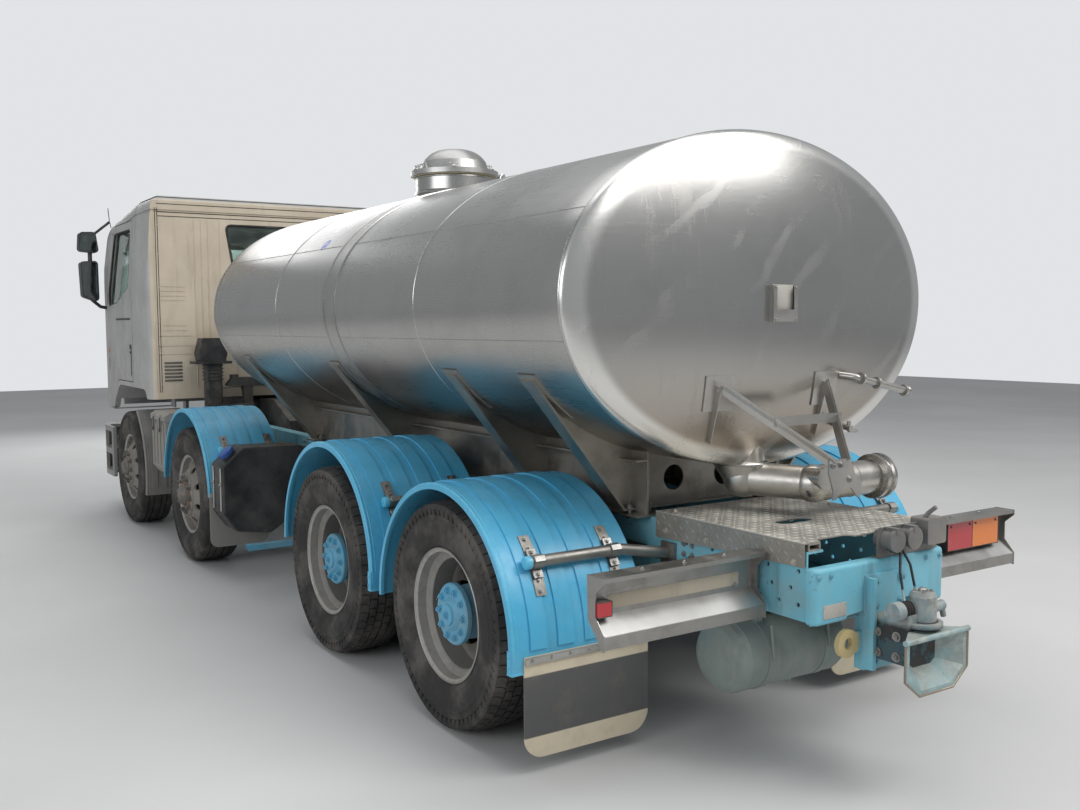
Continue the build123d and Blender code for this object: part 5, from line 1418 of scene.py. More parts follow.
@dataclass
class RearEnd:
    """Deck, beam, coupling, sockets and lamp bars behind the tank."""

    deck_x: tuple[float, float] = (-4.24, -3.37)
    deck_half: float = 0.4
    deck_top: float = 0.965
    pitch: float = 0.038
    beam_rear: float = -4.285
    bar_y: tuple[float, float] = (0.424, 1.211)
    pin: tuple[float, float] = (-4.455, -0.02)

    def diamond(self, mesh: Mesh, at: Vector, normal: Axis, lean: float) -> None:
        """Adds one raised lozenge of the chequer plate.

        Args:
            mesh: Mesh being shaped.
            at: Its middle.
            normal: Axis that it rises along.
            lean: Angle of its long side, in degrees.
        """
        flat = Matrix.Rotation(radians(lean), 4, "Z")
        stand = Matrix() if normal is Axis.Z else Matrix.Rotation(radians(90), 4, "X")
        size = Matrix.Diagonal((0.015, 0.0046, 0.0022, 1.0))
        bmesh.ops.create_uvsphere(mesh.bm, u_segments=8, v_segments=4, radius=1.0,
                                  matrix=Matrix.Translation(at) @ stand @ flat @ size)

    def open_spot(self, x: float, y: float) -> bool:
        """Tells whether a lozenge fits on the deck's top, clear of the hand holes and the seam."""
        holes = ((-3.888, 0.083), (-4.24, 0.216))
        return not 0.046 < y < 0.074 and all(abs(x - a) >= 0.05 or abs(y - b) >= 0.11 for a, b in holes)

    def deck(self) -> None:
        """Makes the chequer plate's lozenges, edge beads and screws, and dresses the plates."""
        dress(rear_deck="tread_plate")
        rear, front = self.deck_x
        top, skirt = Mesh(), Mesh()
        rows = int((front - rear - 0.03) / self.pitch)
        columns = int((2 * self.deck_half - 0.03) / self.pitch)
        for i in range(rows + 1):
            for j in range(columns + 1):
                x = rear + 0.018 + i * self.pitch
                y = -self.deck_half + 0.02 + j * self.pitch
                if self.open_spot(x, y):
                    self.diamond(top, Vector((x, y, self.deck_top)), Axis.Z, 45 if (i + j) % 2 else -45)
            for k in range(3):
                x, z = rear + 0.018 + i * self.pitch, self.deck_top - 0.02 - k * 0.032
                if z > 0.882 - 0.022 * (x - rear) / (front - rear):
                    self.diamond(skirt, Vector((x, self.deck_half, z)), Axis.Y, 45 if (i + k) % 2 else -45)
        top.piece("deck_lozenges", "tread_top", "tread_plate", smooth=60.0)
        skirt.both().piece("skirt_lozenges", "tread_plate", "tread_plate", smooth=60.0)
        edges = Mesh()
        edges.rod((rear + 0.001, 0.3985, 0.9635), (front, 0.3985, 0.9635), 0.0028, sides=10)
        for x in (-4.19, -3.96, -3.7, -3.44):
            edges.nut((x, 0.345, 0.965), UP, 0.018, 0.006, True)
            edges.nut((x, 0.4, 0.885), OUT, 0.02, 0.009)
        edges.both().piece("deck_edges", "tread_top", "tread_plate")

    def beam(self) -> None:
        """Makes the beam's bare plate, bolts and weld lines, and dresses the beam."""
        dress(rear_crossmember="beam_blue")
        x = self.beam_rear
        plate = Mesh()
        plate.box((x - 0.0012, 0.277, 0.7), (0.0024, 0.128, 0.054), bevel=0.0008)
        for y in (0.219, 0.335):
            for z in (0.679, 0.721):
                plate.nut((x - 0.0022, y, z), REAR, 0.006, 0.002, True)
        plate.piece("beam_plate", "pale_plate", "alu_tank")
        bolts = Mesh()
        for y in (-0.092, 0.064):
            for z in (0.47, 0.56, 0.69, 0.79):
                bolts.nut((x - 0.0118, y, z), REAR, 0.03, 0.017)
        for y in (-0.35, -0.262, 0.3, 0.365):
            bolts.nut((x + 0.0005, y, 0.838), REAR, 0.019, 0.009)
        bolts.piece("beam_bolts", "bolt_blue", "blue_paint")
        seams = Mesh()
        for y in (-0.1125, 0.1075):
            seams.rod((x - 0.001, y, 0.655), (x - 0.001, y, 0.812), 0.0045, sides=8)
        for y0, y1 in ((-0.38, -0.118), (0.112, 0.38)):
            seams.rod((x + 0.03, y0, 0.6505), (x + 0.03, y1, 0.6505), 0.0035, sides=8)
        seams.piece("beam_welds", "bolt_blue", "blue_paint")

    def coupling(self) -> None:
        """Makes the coupling's bolts, spring, boot, pin end and grease cap, and dresses the castings."""
        dress(tow_coupling="coupling_cast", coupling_funnel="funnel_worn")
        iron = Mesh()
        for at in ring_of((*self.pin, 0.7695), Axis.Z, 0.03, 4, 45.0):
            iron.nut(at, UP, 0.013, 0.006)
        iron.turned([(0.769, 0.0005), (0.769, 0.018), (0.778, 0.017), (0.784, 0.009), (0.785, 0.0005)],
                    (*self.pin, 0), Axis.Z, 24)
        for side, y in ((1, 0.084), (-1, -0.095)):
            for x, z in ((-4.33, 0.52), (-4.42, 0.52), (-4.33, 0.6), (-4.42, 0.6)):
                iron.nut((x, y, z), OUT * side, 0.028, 0.014)
        iron.piece("coupling_bolts", "bolt_steel", "cast_grey")
        rubber = Mesh()
        for i in range(5):
            y = 0.045 + i * 0.014
            rubber.turned([(y - 0.0062, 0.0255), (y - 0.002, 0.0325), (y + 0.002, 0.0325),
                           (y + 0.0062, 0.0255)], (-4.44, 0, 0.706), Axis.Y, 32, True)
        rubber.turned([(0.646, 0.052), (0.65, 0.0585), (0.656, 0.0585), (0.66, 0.053)], (*self.pin, 0),
                      Axis.Z, 40, True)
        rubber.piece("coupling_boot", "black_rubber", "black_plastic", smooth=50.0)
        rim = [(-4.538, y, z) for y, z in ((-0.184, 0.606), (-0.184, 0.472), (-0.098, 0.4045),
                                           (0.098, 0.4045), (0.184, 0.472), (0.184, 0.606))]
        swept(rim, 0.005, "funnel_rim", "worn_edge", "cast_grey")

    def sockets(self) -> None:
        """Makes the sockets' lids and screws, and dresses the bracket."""
        dress(trailer_sockets="socket_grey")
        lids = Mesh()
        for y in (-0.024, -0.13):
            x = -4.263
            lids.turned([(x - 0.007, 0.0005), (x - 0.007, 0.03), (x - 0.005, 0.0375), (x + 0.002, 0.039),
                         (x + 0.006, 0.0385), (x + 0.006, 0.0005)], (0, y, 0.94), Axis.X, 36)
            for at in ring_of((-4.262, y, 0.94), Axis.X, 0.045, 4, 45.0):
                lids.nut(at + Vector((0.012, 0, 0)), REAR, 0.009, 0.004, True)
        lids.piece("socket_lids", "socket_grey", "black_plastic")

    def lamp_bars(self) -> None:
        """Makes the bars' bolts, bright ledge, faded strip, lens frames and marker, and dresses them."""
        dress(lamp_bars="bar_steel", lamps="lamp_lens")
        y0, y1 = self.bar_y
        bright = Mesh()
        slope = [(-3.9935, y0 + 0.006, 0.7535), (-4.0675, y0 + 0.006, 0.699), (-4.0675, y1 - 0.006, 0.699),
                 (-3.9935, y1 - 0.006, 0.7535)]
        bright.plate(slope, Vector((-0.6, 0, 0.8)) * 0.0012)
        bright.pair("bar_ledge", "bright_steel", "stainless")
        bolts = Mesh()
        for y in (0.445, 0.52, 0.905, 1.12, 1.192):
            bolts.nut((-3.9945, y, 0.775 if y < 0.6 else 0.885), REAR, 0.018, 0.008)
        for y in (0.6, 0.8, 1.0):
            bolts.nut((-4.02, y, 0.905), UP, 0.016, 0.005, True)
        bolts.pair("bar_bolts", "bolt_steel", "stainless")
        strip = Mesh()
        strip.box((-3.9945, 0.82, 0.8), (0.0012, 0.64, 0.052), bevel=0.0004)
        strip.piece("bar_strip", "faded_strip", "flap")
        frames = Mesh()
        for a, b in ((-0.933, -0.752), (-1.13, -0.933)):
            for y in (a, b):
                frames.box((-4.016, y, 0.8205), (0.042, 0.004, 0.132), bevel=0.0012)
            for z in (0.755, 0.886):
                frames.box((-4.016, (a + b) / 2, z), (0.042, b - a, 0.004), bevel=0.0012)
        for y, z in ((-0.775, 0.866), (-0.912, 0.866), (-0.956, 0.866), (-1.108, 0.866)):
            frames.nut((-4.0355, y, z), REAR, 0.009, 0.003, True)
        frames.box((-4.016, 1.1475, 0.787), (0.04, 0.004, 0.056), bevel=0.0012)
        for z in (0.76, 0.814):
            frames.box((-4.016, 1.178, z), (0.04, 0.058, 0.004), bevel=0.0012)
        frames.piece("lamp_frames", "black_moulding", "black_plastic")

    def build(self) -> None:
        """Makes and dresses everything behind the tank."""
        self.deck()
        self.beam()
        self.coupling()
        self.sockets()
        self.lamp_bars()


@dataclass
class Cab:
    """Cab body's seals, glass edges, mirrors, grille, steps and inside."""

    rear_x: float = 2.337
    half_width: float = 1.215
    rear_window: tuple[Point, ...] = ((0, -0.54, 2.668), (0, 0.54, 2.668), (0, 0.47, 2.23), (0, -0.47, 2.23))
    side_window: tuple[tuple[float, float], ...] = ((3.07, 2.15), (3.055, 2.66), (3.725, 2.66), (3.89, 2.11),
                                                    (3.89, 1.985), (3.49, 2.015))
    windscreen: tuple[tuple[float, float], ...] = ((1.06, 1.87), (0.985, 2.59), (-0.985, 2.59), (-1.06, 1.87))
    seat_y: float = 0.62

    def wall_y(self, z: float) -> float:
        """Half width of the cab's side at a height, where it leans in above the waist."""
        return min(self.half_width, 1.23 - 0.065 * max(z - 1.9, 0.0) / 1.003)

    def screen_x(self, y: float, z: float) -> float:
        """Place of the windscreen's face, which leans back and curves round to the sides."""
        edge = max(abs(y) - 0.775, 0.0)
        return min(4.38 - 0.32 * (z - 1.8) / 0.85, 4.03 + (max(0.44 ** 2 - edge ** 2, 0.0)) ** 0.5)

    def rounded(self, points: Sequence[Point], radius: float, steps: int = 5) -> list[Vector]:
        """Rounds the corners of a closed outline with arcs made by easing between their tangent points.

        Args:
            points: Corners.
            radius: Distance from a corner at which its arc starts.
            steps: Facets in a corner.

        Returns:
            Points of the rounded outline.
        """
        corners = [Vector(p) for p in points]
        rounded = []
        for i, corner in enumerate(corners):
            before, after = corners[i - 1], corners[(i + 1) % len(corners)]
            a = corner + (before - corner).normalized() * radius
            b = corner + (after - corner).normalized() * radius
            for k in range(steps + 1):
                t = k / steps
                rounded.append(a * (1 - t) ** 2 + corner * 2 * t * (1 - t) + b * t * t)
        return rounded

    def seal(self, name: str, body: str, loop: Sequence[Vector], radius: float) -> None:
        """Makes a rubber seal as a round bead that follows a closed loop."""
        swept([*loop, *loop[:2]], radius, name, "black_rubber", "black_plastic", body)

    def windows(self) -> None:
        """Makes the seals round the glass, and dresses the glass and the doors."""
        dress(cab_glass="cab_glass")
        rear = [Vector((self.rear_x + 0.001, p.y, p.z)) for p in self.rounded(self.rear_window, 0.055)]
        self.seal("rear_window_seal", "cab", rear, 0.011)
        screen = self.rounded([(0, y, z) for y, z in self.windscreen], 0.085, 6)
        dense = []
        for a, b in zip(screen, screen[1:] + screen[:1]):
            parts = max(1, int((b - a).length / 0.08))
            dense += [a + (b - a) * i / parts for i in range(parts)]
        loop = [Vector((self.screen_x(p.y, p.z) - 0.012, p.y, p.z)) for p in dense]
        self.seal("windscreen_seal", "cab", loop, 0.01)
        for side_name, side in SIDES:
            dress(**{f"door_glass_{side_name}": "cab_glass", f"door_{side_name}": "cab_side"})
            ring = self.rounded([(x, 0, z) for x, z in self.side_window], 0.045)
            loop = [Vector((p.x, side * (self.wall_y(p.z) - 0.01), p.z)) for p in ring]
            self.seal(f"door_window_seal_{side_name}", f"door_{side_name}", loop, 0.01)

    def doors(self) -> None:
        """Makes the door handles, locks, hinges and the marker lamps above the arches."""
        lean = Matrix.Rotation(radians(-4), 3, "Y")
        grip = Mesh()
        grip.box((3.013, 1.209, 1.47), (0.03, 0.016, 0.23), lean, 0.006, 3)
        grip.box((3.028, 1.2175, 1.61), (0.052, 0.008, 0.04), lean, 0.003)
        grip.rod((3.028, 1.218, 1.56), (3.028, 1.224, 1.56), 0.01, sides=20, bevel=0.001)
        grip.pair("door_handle", "black_moulding", "black_plastic", "door_{side}")
        trim = Mesh()
        trim.box((3.3, 1.217, 1.86), (0.56, 0.006, 0.018), bevel=0.002)
        trim.pair("door_trim", "black_moulding", "black_plastic", "door_{side}")
        lamp = Mesh()
        lamp.box((3.955, 1.213, 1.56), (0.07, 0.016, 0.036), bevel=0.005, steps=3)
        lamp.pair("side_repeater", "amber_lens", "lamp_lens", "cab")
        hinge = Mesh()
        for z in (1.43, 2.06):
            hinge.rod((3.946, 1.2195, z - 0.055), (3.946, 1.2195, z + 0.055), 0.009, sides=16, bevel=0.002)
            hinge.box((3.972, 1.2165, z), (0.04, 0.007, 0.07), bevel=0.002)
            for dz in (-0.018, 0.018):
                hinge.nut((3.976, 1.22, z + dz), OUT, 0.012, 0.004, True)
        hinge.pair("door_hinge", "cab_side", "cab_grey", "cab")

    def body(self) -> None:
        """Dresses the shell and makes its panel beads, vents and screws."""
        dress(cab_shell="cab_body")
        beads = Mesh()
        x = self.rear_x - 0.001
        for side in (1, -1):
            for y in (0.6, 0.702, 0.76, 0.817):
                beads.rod((x, side * y, 1.26), (x, side * y, 2.2), 0.0042, sides=8)
        for z in (1.26, 2.2):
            beads.rod((x, -0.6, z), (x, 0.6, z), 0.0042, sides=8)
        beads.piece("rear_wall_beads", "cab_body", "cab_beige", "cab", 60.0)
        gutters = Mesh()
        for z in (2.722, 2.757, 2.826):
            gutters.rod((self.rear_x, -1.12, z), (self.rear_x, 1.12, z), 0.0034, sides=8)
        for side in (1, -1):
            for y in (1.118, 1.136):
                gutters.rod((self.rear_x, side * y, 1.23), (self.rear_x, side * y, 2.79), 0.003, sides=8)
        gutters.piece("rear_wall_gutters", "black_rubber", "black_plastic", "cab")
        vents = Mesh()
        for i in range(6):
            z = 1.33 + i * 0.03
            vents.box((self.rear_x - 0.002, 1.02, z), (0.006, 0.15, 0.016),
                      Matrix.Rotation(radians(24), 3, "Y"), 0.002)
        vents.both().piece("rear_wall_vents", "black_moulding", "black_plastic", "cab")
        screws = Mesh()
        for z in (1.3, 1.56, 1.83, 2.12, 2.4, 2.65):
            screws.nut((self.rear_x + 0.0005, 1.12, z), REAR, 0.01, 0.003, True)
        screws.both().piece("rear_wall_screws", "cab_body", "cab_beige", "cab")

    def mirrors(self) -> None:
        """Makes the mirror glasses, the aerial and the wipers."""
        dress(mirrors="mirror_black")
        glass = Mesh()
        for x, corners in ((3.938, ((1.29, 2.506), (1.314, 2.686), (1.438, 2.68), (1.449, 2.52))),
                           (3.928, ((1.304, 2.036), (1.305, 2.41), (1.44, 2.401), (1.43, 2.088)))):
            loop = self.rounded([(x, y, z) for y, z in corners], 0.022, 4)
            glass.plate(loop, Vector((-0.0025, 0, 0)))
        glass.both().piece("mirror_glass", "mirror_glass", "glass", "cab")
        bezel = Mesh()
        bezel.rod((3.93, 1.303, 2.222), (3.93, 1.441, 2.222), 0.0022, sides=8)
        bezel.both().piece("mirror_split", "black_moulding", "black_plastic", "cab")
        aerial = [(3.985, 1.15, 2.745), (3.975, 1.165, 2.8), (3.9, 1.19, 2.905), (3.85, 1.2, 2.918)]
        swept(aerial, 0.0035, "aerial", "black_rubber", "black_plastic", "cab", bent=True)
        wipers = Mesh()
        for y in (0.62, -0.05, -0.72):
            foot = Vector((self.screen_x(y, 1.86) + 0.012, y, 1.85))
            tip = Vector((self.screen_x(y + 0.3, 1.93) + 0.016, y + 0.3, 1.945))
            wipers.rod(foot, tip, 0.007, 0.004, sides=10)
            wipers.rod(foot - Vector((0.02, 0, 0.004)), foot + Vector((0.012, 0, 0.004)), 0.016,
                       sides=20, bevel=0.002)
            for k in (-1, 1):
                end = tip + Vector((0, 0.16 * k, 0.012 * k))
                end.x = self.screen_x(end.y, end.z) + 0.006
                wipers.rod(tip, end, 0.0045, 0.003, sides=8)
        wipers.piece("wipers", "black_moulding", "black_plastic", "cab")

    def front(self) -> None:
        """Makes the grille's mesh and the steps' treads, and dresses grille and bumper."""
        dress(grille="grille_grey", bumper="bumper_grey")
        slats = Mesh()
        for i in range(5):
            z = 1.15 + i * 0.104
            for k in range(11):
                y = 0.07 + k * 0.058
                slats.box((4.48, y, z + 0.031), (0.01, 0.01, 0.056), bevel=0.002, steps=1)
            for dz in (0.018, 0.044):
                slats.rod((4.478, 0.038, z + dz), (4.478, 0.682, z + dz), 0.003, sides=8)
        slats.both().piece("grille_slats", "black_moulding", "black_plastic", "front_flap")
        treads = Mesh()
        for z in (0.39, 0.61):
            for i in range(9):
                x = 3.88 + i * 0.04
                treads.box((x, 1.135, z + 0.0012), (0.012, 0.13, 0.0035), bevel=0.0012, steps=1)
        treads.both().piece("step_treads", "tread_top", "tread_plate")

    def seat(self, name: str, y: float) -> None:
        """Makes one seat: a crowned cushion, a bolstered back and a head rest, sewn with welts.

        Args:
            name: Name of the seat.
            y: Its middle.
        """
        parts = (("cushion", (3.13, y, 1.535), (0.48, 0.47, 0.12), -4.0, 0.018),
                 ("back", (2.852, y, 1.85), (0.13, 0.44, 0.56), -7.0, 0.016),
                 ("head_rest", (2.795, y, 2.25), (0.085, 0.27, 0.2), -4.0, 0.012))
        for part, centre, size, lean, swell in parts:
            mesh = Mesh()
            turn = Matrix.Rotation(radians(lean), 3, "Y")
            mesh.box((0, 0, 0), size, bevel=min(size) * 0.34, steps=3)
            bmesh.ops.subdivide_edges(mesh.bm, edges=[e for e in mesh.bm.edges if e.calc_length() > 0.06],
                                      cuts=9, use_grid_fill=True)
            thin = size.index(min(size))
            wide = [i for i in range(3) if i != thin]
            for vert in mesh.bm.verts:
                u, v = (vert.co[i] / size[i] * 2 for i in wide)
                crown = max(0.0, (1 - u * u)) * max(0.0, (1 - v * v))
                seam = max(0.0, 1 - 9 * abs(v if wide[0] == 1 else u)) if part != "head_rest" else 0.0
                vert.co[thin] += (1 if vert.co[thin] > 0 else -1) * swell * (crown - 0.17 * seam)
            for vert in mesh.bm.verts:
                vert.co = turn @ vert.co + Vector(centre)
            piece = mesh.piece(f"seat_{part}_{name}", "seat_cloth", "seat_cloth", "cab", 60.0)
            smooth = piece.modifiers.new("rounding", "SUBSURF")
            smooth.levels = smooth.render_levels = 1
            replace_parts(piece, "seats")

    def inside(self) -> None:
        """Makes the seats, their pedestals, the dash's vents and dials, and dresses the wheel."""
        dress(dashboard="interior_trim", steering_wheel="black_moulding")
        for side_name, side in SIDES:
            self.seat(side_name, side * self.seat_y)
        base = Mesh()
        for side in (1, -1):
            y = side * 0.6
            base.box((3.12, y, 1.245), (0.36, 0.27, 0.05), bevel=0.008)
            base.box((3.12, y, 1.345), (0.28, 0.2, 0.16), bevel=0.02, steps=3)
            base.box((3.12, side * self.seat_y, 1.445), (0.42, 0.4, 0.045), bevel=0.01)
            for k in range(4):
                base.box((3.12, y, 1.29 + k * 0.03), (0.3, 0.22, 0.012), bevel=0.005, steps=1)
            for dy in (-0.06, 0.06):
                base.rod((2.83, side * self.seat_y + dy, 2.11), (2.812, side * self.seat_y + dy, 2.2),
                         0.007, sides=12)
            base.box((2.905, side * self.seat_y, 1.5), (0.07, 0.43, 0.06), bevel=0.015, steps=3)
        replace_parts(base.piece("seat_pedestals", "interior_trim", "interior", "cab"), "seats")
        dials = Mesh()
        for y in (-0.72, -0.54):
            dials.turned([(0.0, 0.0005), (0.0, 0.052), (-0.004, 0.056), (-0.008, 0.052)],
                         (3.985, y, 1.8), Axis.X, 36)
        for y in (-0.25, 0.0, 0.25, 0.76):
            for k in range(4):
                dials.box((3.985, y, 1.64 + k * 0.02), (0.006, 0.12, 0.01), bevel=0.002, steps=1)
        dials.piece("dash_vents", "black_moulding", "black_plastic", "cab")

    def build(self) -> None:
        """Makes and dresses the cab."""
        self.body()
        self.windows()
        self.doors()
        self.mirrors()
        self.front()
        self.inside()


@dataclass
class Chassis:
    """Frame fixings, brake gear, side tanks, boxes and the pipework along the rails."""

    rail_y: float = 0.385
    air_x: float = -3.9
    air_z: float = 0.462
    filler: tuple[float, float] = (0.35, -1.04)
    crossmembers: tuple[float, ...] = (4.02, 0.93, 0.23, -0.67, -2.22, -3.57)

    def rails(self) -> None:
        """Makes the rail bolts, rivets and spring hanger bolts, and dresses the frame."""
        dress(chassis_frame="frame_blue", leaf_springs="axle_black", drivetrain="engine_grime",
              cab_mounts="axle_black")
        bolts = Mesh()
        for x in self.crossmembers:
            for dx in (-0.026, 0.026):
                for z in (0.8, 0.845, 0.89):
                    bolts.nut((x + dx, self.rail_y, z), OUT, 0.02, 0.01)
        for x in (2.375, 3.935, 0.435, 1.995):
            for dx in (-0.024, 0.024):
                for dz in (0.69, 0.72):
                    bolts.nut((x + dx, 0.426, dz), OUT, 0.022, 0.011)
        for k in range(9):
            bolts.nut((-3.15 + k * 0.42, self.rail_y, 0.905), OUT, 0.018, 0.009)
        bolts.both().piece("frame_bolts", "bolt_steel", "painted_frame")

    def brake_gear(self) -> None:
        """Makes the brake chambers with their clamps and pushrods on every axle."""
        cans = Mesh()
        for _, x, driven in AXLES:
            for side in (1, -1):
                dx, y, z, reach = (0.215, 0.5, 0.52, 0.24) if driven else (0.12, 0.56, 0.48, 0.12)
                at, back = Vector((x + dx, side * y, z)), -REAR
                cans.rod(at, at + back * reach, 0.072, sides=32, bevel=0.012)
                for k in (0.03, reach - 0.034):
                    cans.rod(at + back * k, at + back * (k + 0.012), 0.079, sides=32, bevel=0.003)
                cans.rod(at - back * 0.085, at, 0.011, sides=12)
                for a in (0.9, 2.3, 4.0):
                    edge = at + Vector((0, 0.079 * cos(a), 0.079 * sin(a)))
                    cans.rod(edge + back * 0.026, edge + back * 0.046, 0.006, sides=8)
                cans.box(at - back * 0.092, (0.03, 0.03, 0.05), bevel=0.006)
        cans.piece("brake_chambers", "axle_black", "painted_frame")

    def lines(self) -> None:
        """Makes the air lines and cable bundles clipped along the rails."""
        runs = (
            ("air_line_left", ((2.1, 0.398, 0.76), (1.6, 0.4, 0.752), (0.6, 0.399, 0.764), (-0.6, 0.4, 0.75),
                               (-1.7, 0.399, 0.768), (-2.9, 0.4, 0.755), (-3.7, 0.398, 0.762)), 0.007),
            ("cable_left", ((2.1, 0.397, 0.786), (1.2, 0.398, 0.792), (0.2, 0.399, 0.78), (-1.1, 0.398, 0.79),
                            (-2.3, 0.399, 0.783), (-3.3, 0.398, 0.792)), 0.01),
            ("air_line_right", ((2.1, -0.398, 0.758), (1.4, -0.4, 0.766), (0.3, -0.399, 0.752),
                                (-1.2, -0.4, 0.764), (-2.6, -0.399, 0.75), (-3.7, -0.398, 0.76)), 0.007),
        )
        for name, points, radius in runs:
            swept(points, radius, name, "black_rubber", "black_plastic", bent=True)
        clips = Mesh()
        for k in range(12):
            x = 1.9 - k * 0.5
            clips.box((x, 0.397, 0.772), (0.018, 0.026, 0.058), bevel=0.004, steps=1)
        clips.both().piece("line_clips", "black_moulding", "black_plastic")

    def small_tank(self) -> None:
        """Makes the small tank's ribbed cap and its straps, and dresses the tank."""
        dress(small_tank="tank_plastic")
        cap = Mesh()
        cap.turned([(0.0, 0.0005), (0.0, 0.053), (0.006, 0.056), (0.03, 0.0545), (0.036, 0.048),
                    (0.038, 0.03), (0.041, 0.028), (0.042, 0.0005)], (0, 0, 0), Axis.Z, 40)
        for at in ring_of((0, 0, 0.018), Axis.Z, 0.0545, 24):
            cap.box(at, (0.006, 0.006, 0.026), Matrix.Rotation(atan2(at.y, at.x), 3, "Z"), 0.001, 1)
        axis = Vector((0, 0.62, 0.785)).normalized()
        stand = axis.to_track_quat("Z", "X").to_matrix().to_4x4()
        place = Matrix.Translation(Vector((0.38, 1.152, 0.878)) + axis * 0.024) @ stand
        bmesh.ops.transform(cap.bm, matrix=place, verts=cap.bm.verts)
        cap.piece("small_tank_cap", "cap_blue", "blue_plastic")
        straps = Mesh()
        for x in (0.35, 0.522):
            straps.box((x, 1.231, 0.655), (0.03, 0.004, 0.3), bevel=0.001, steps=1)
            straps.nut((x, 1.233, 0.69), OUT, 0.018, 0.01)
        straps.piece("small_tank_straps", "strip_steel", "stainless")

    def fuel_tank(self) -> None:
        """Makes the fuel tank's cap, straps and lower ledge, and dresses the tank."""
        dress(fuel_tank="fuel_alu")
        fuel = Mesh()
        x, y = self.filler
        for at in ring_of((*self.filler, 1.0445), Axis.Z, 0.047, 18):
            fuel.box(at, (0.006, 0.006, 0.03), Matrix.Rotation(atan2(at.y - y, at.x - x), 3, "Z"), 0.001, 1)
        fuel.turned([(1.0455, 0.0005), (1.0455, 0.04), (1.05, 0.036), (1.052, 0.0005)],
                    (*self.filler, 0), Axis.Z, 32)
        for x in (-0.37, 0.29):
            fuel.box((x, -1.2215, 0.69), (0.052, 0.004, 0.46), bevel=0.001, steps=1)
            for z in (0.5, 0.88):
                fuel.nut((x, -1.2235, z), -OUT, 0.02, 0.01)
        for i in range(8):
            fuel.box((-0.55 + i * 0.14, -1.216, 0.46), (0.1, 0.006, 0.012), bevel=0.002, steps=1)
        fuel.piece("fuel_tank_fixings", "strip_steel", "stainless")

    def boxes(self) -> None:
        """Makes the latches and hinge rods of the boxes behind the steps, and dresses boxes and rest."""
        dress(step_boxes="box_dusty", side_rest="rest_blue", air_intake="black_moulding")
        box = Mesh()
        for x in (2.037, 2.252):
            box.box((x, 1.224, 0.985), (0.02, 0.006, 0.11), bevel=0.002, steps=1)
            box.box((x, 1.228, 0.935), (0.03, 0.008, 0.03), bevel=0.003)
        box.rod((1.93, 0.7, 1.0835), (2.362, 0.7, 1.0835), 0.008, sides=12)
        box.both().piece("box_latches", "black_moulding", "black_plastic")

    def air_tank(self) -> None:
        """Makes the air tank's weld rings, hangers and drain, and dresses the tank."""
        dress(air_tank="tank_green")
        air = Mesh()
        for y in (-0.048, 0.47):
            air.turned([(y - 0.004, 0.149), (y - 0.0015, 0.1515), (y + 0.0015, 0.1515), (y + 0.004, 0.149)],
                       (self.air_x, 0, self.air_z), Axis.Y, 64, True)
        for y in (0.04, 0.36):
            for dx in (-0.155, 0.155):
                air.rod((self.air_x + dx, y, self.air_z), (self.air_x + dx * 0.9, y, 0.6), 0.006, sides=10)
        air.rod((self.air_x, 0.12, 0.292), (self.air_x, 0.12, 0.306), 0.016, sides=6)
        air.piece("air_tank_bands", "tank_green", "blue_paint")

    def build(self) -> None:
        """Makes and dresses the frame's fixings and what hangs on it."""
        self.rails()
        self.brake_gear()
        self.lines()
        self.small_tank()
        self.fuel_tank()
        self.boxes()
        self.air_tank()


HUBS: tuple[Colour, ...] = ((0.2, 0.18, 0.16), (0.17, 0.085, 0.045), (0.1, 0.4, 0.6), (0.1, 0.4, 0.6))
PALE_DISH: Colour = (0.34, 0.325, 0.295)
DARK_DISH: Colour = (0.045, 0.044, 0.042)

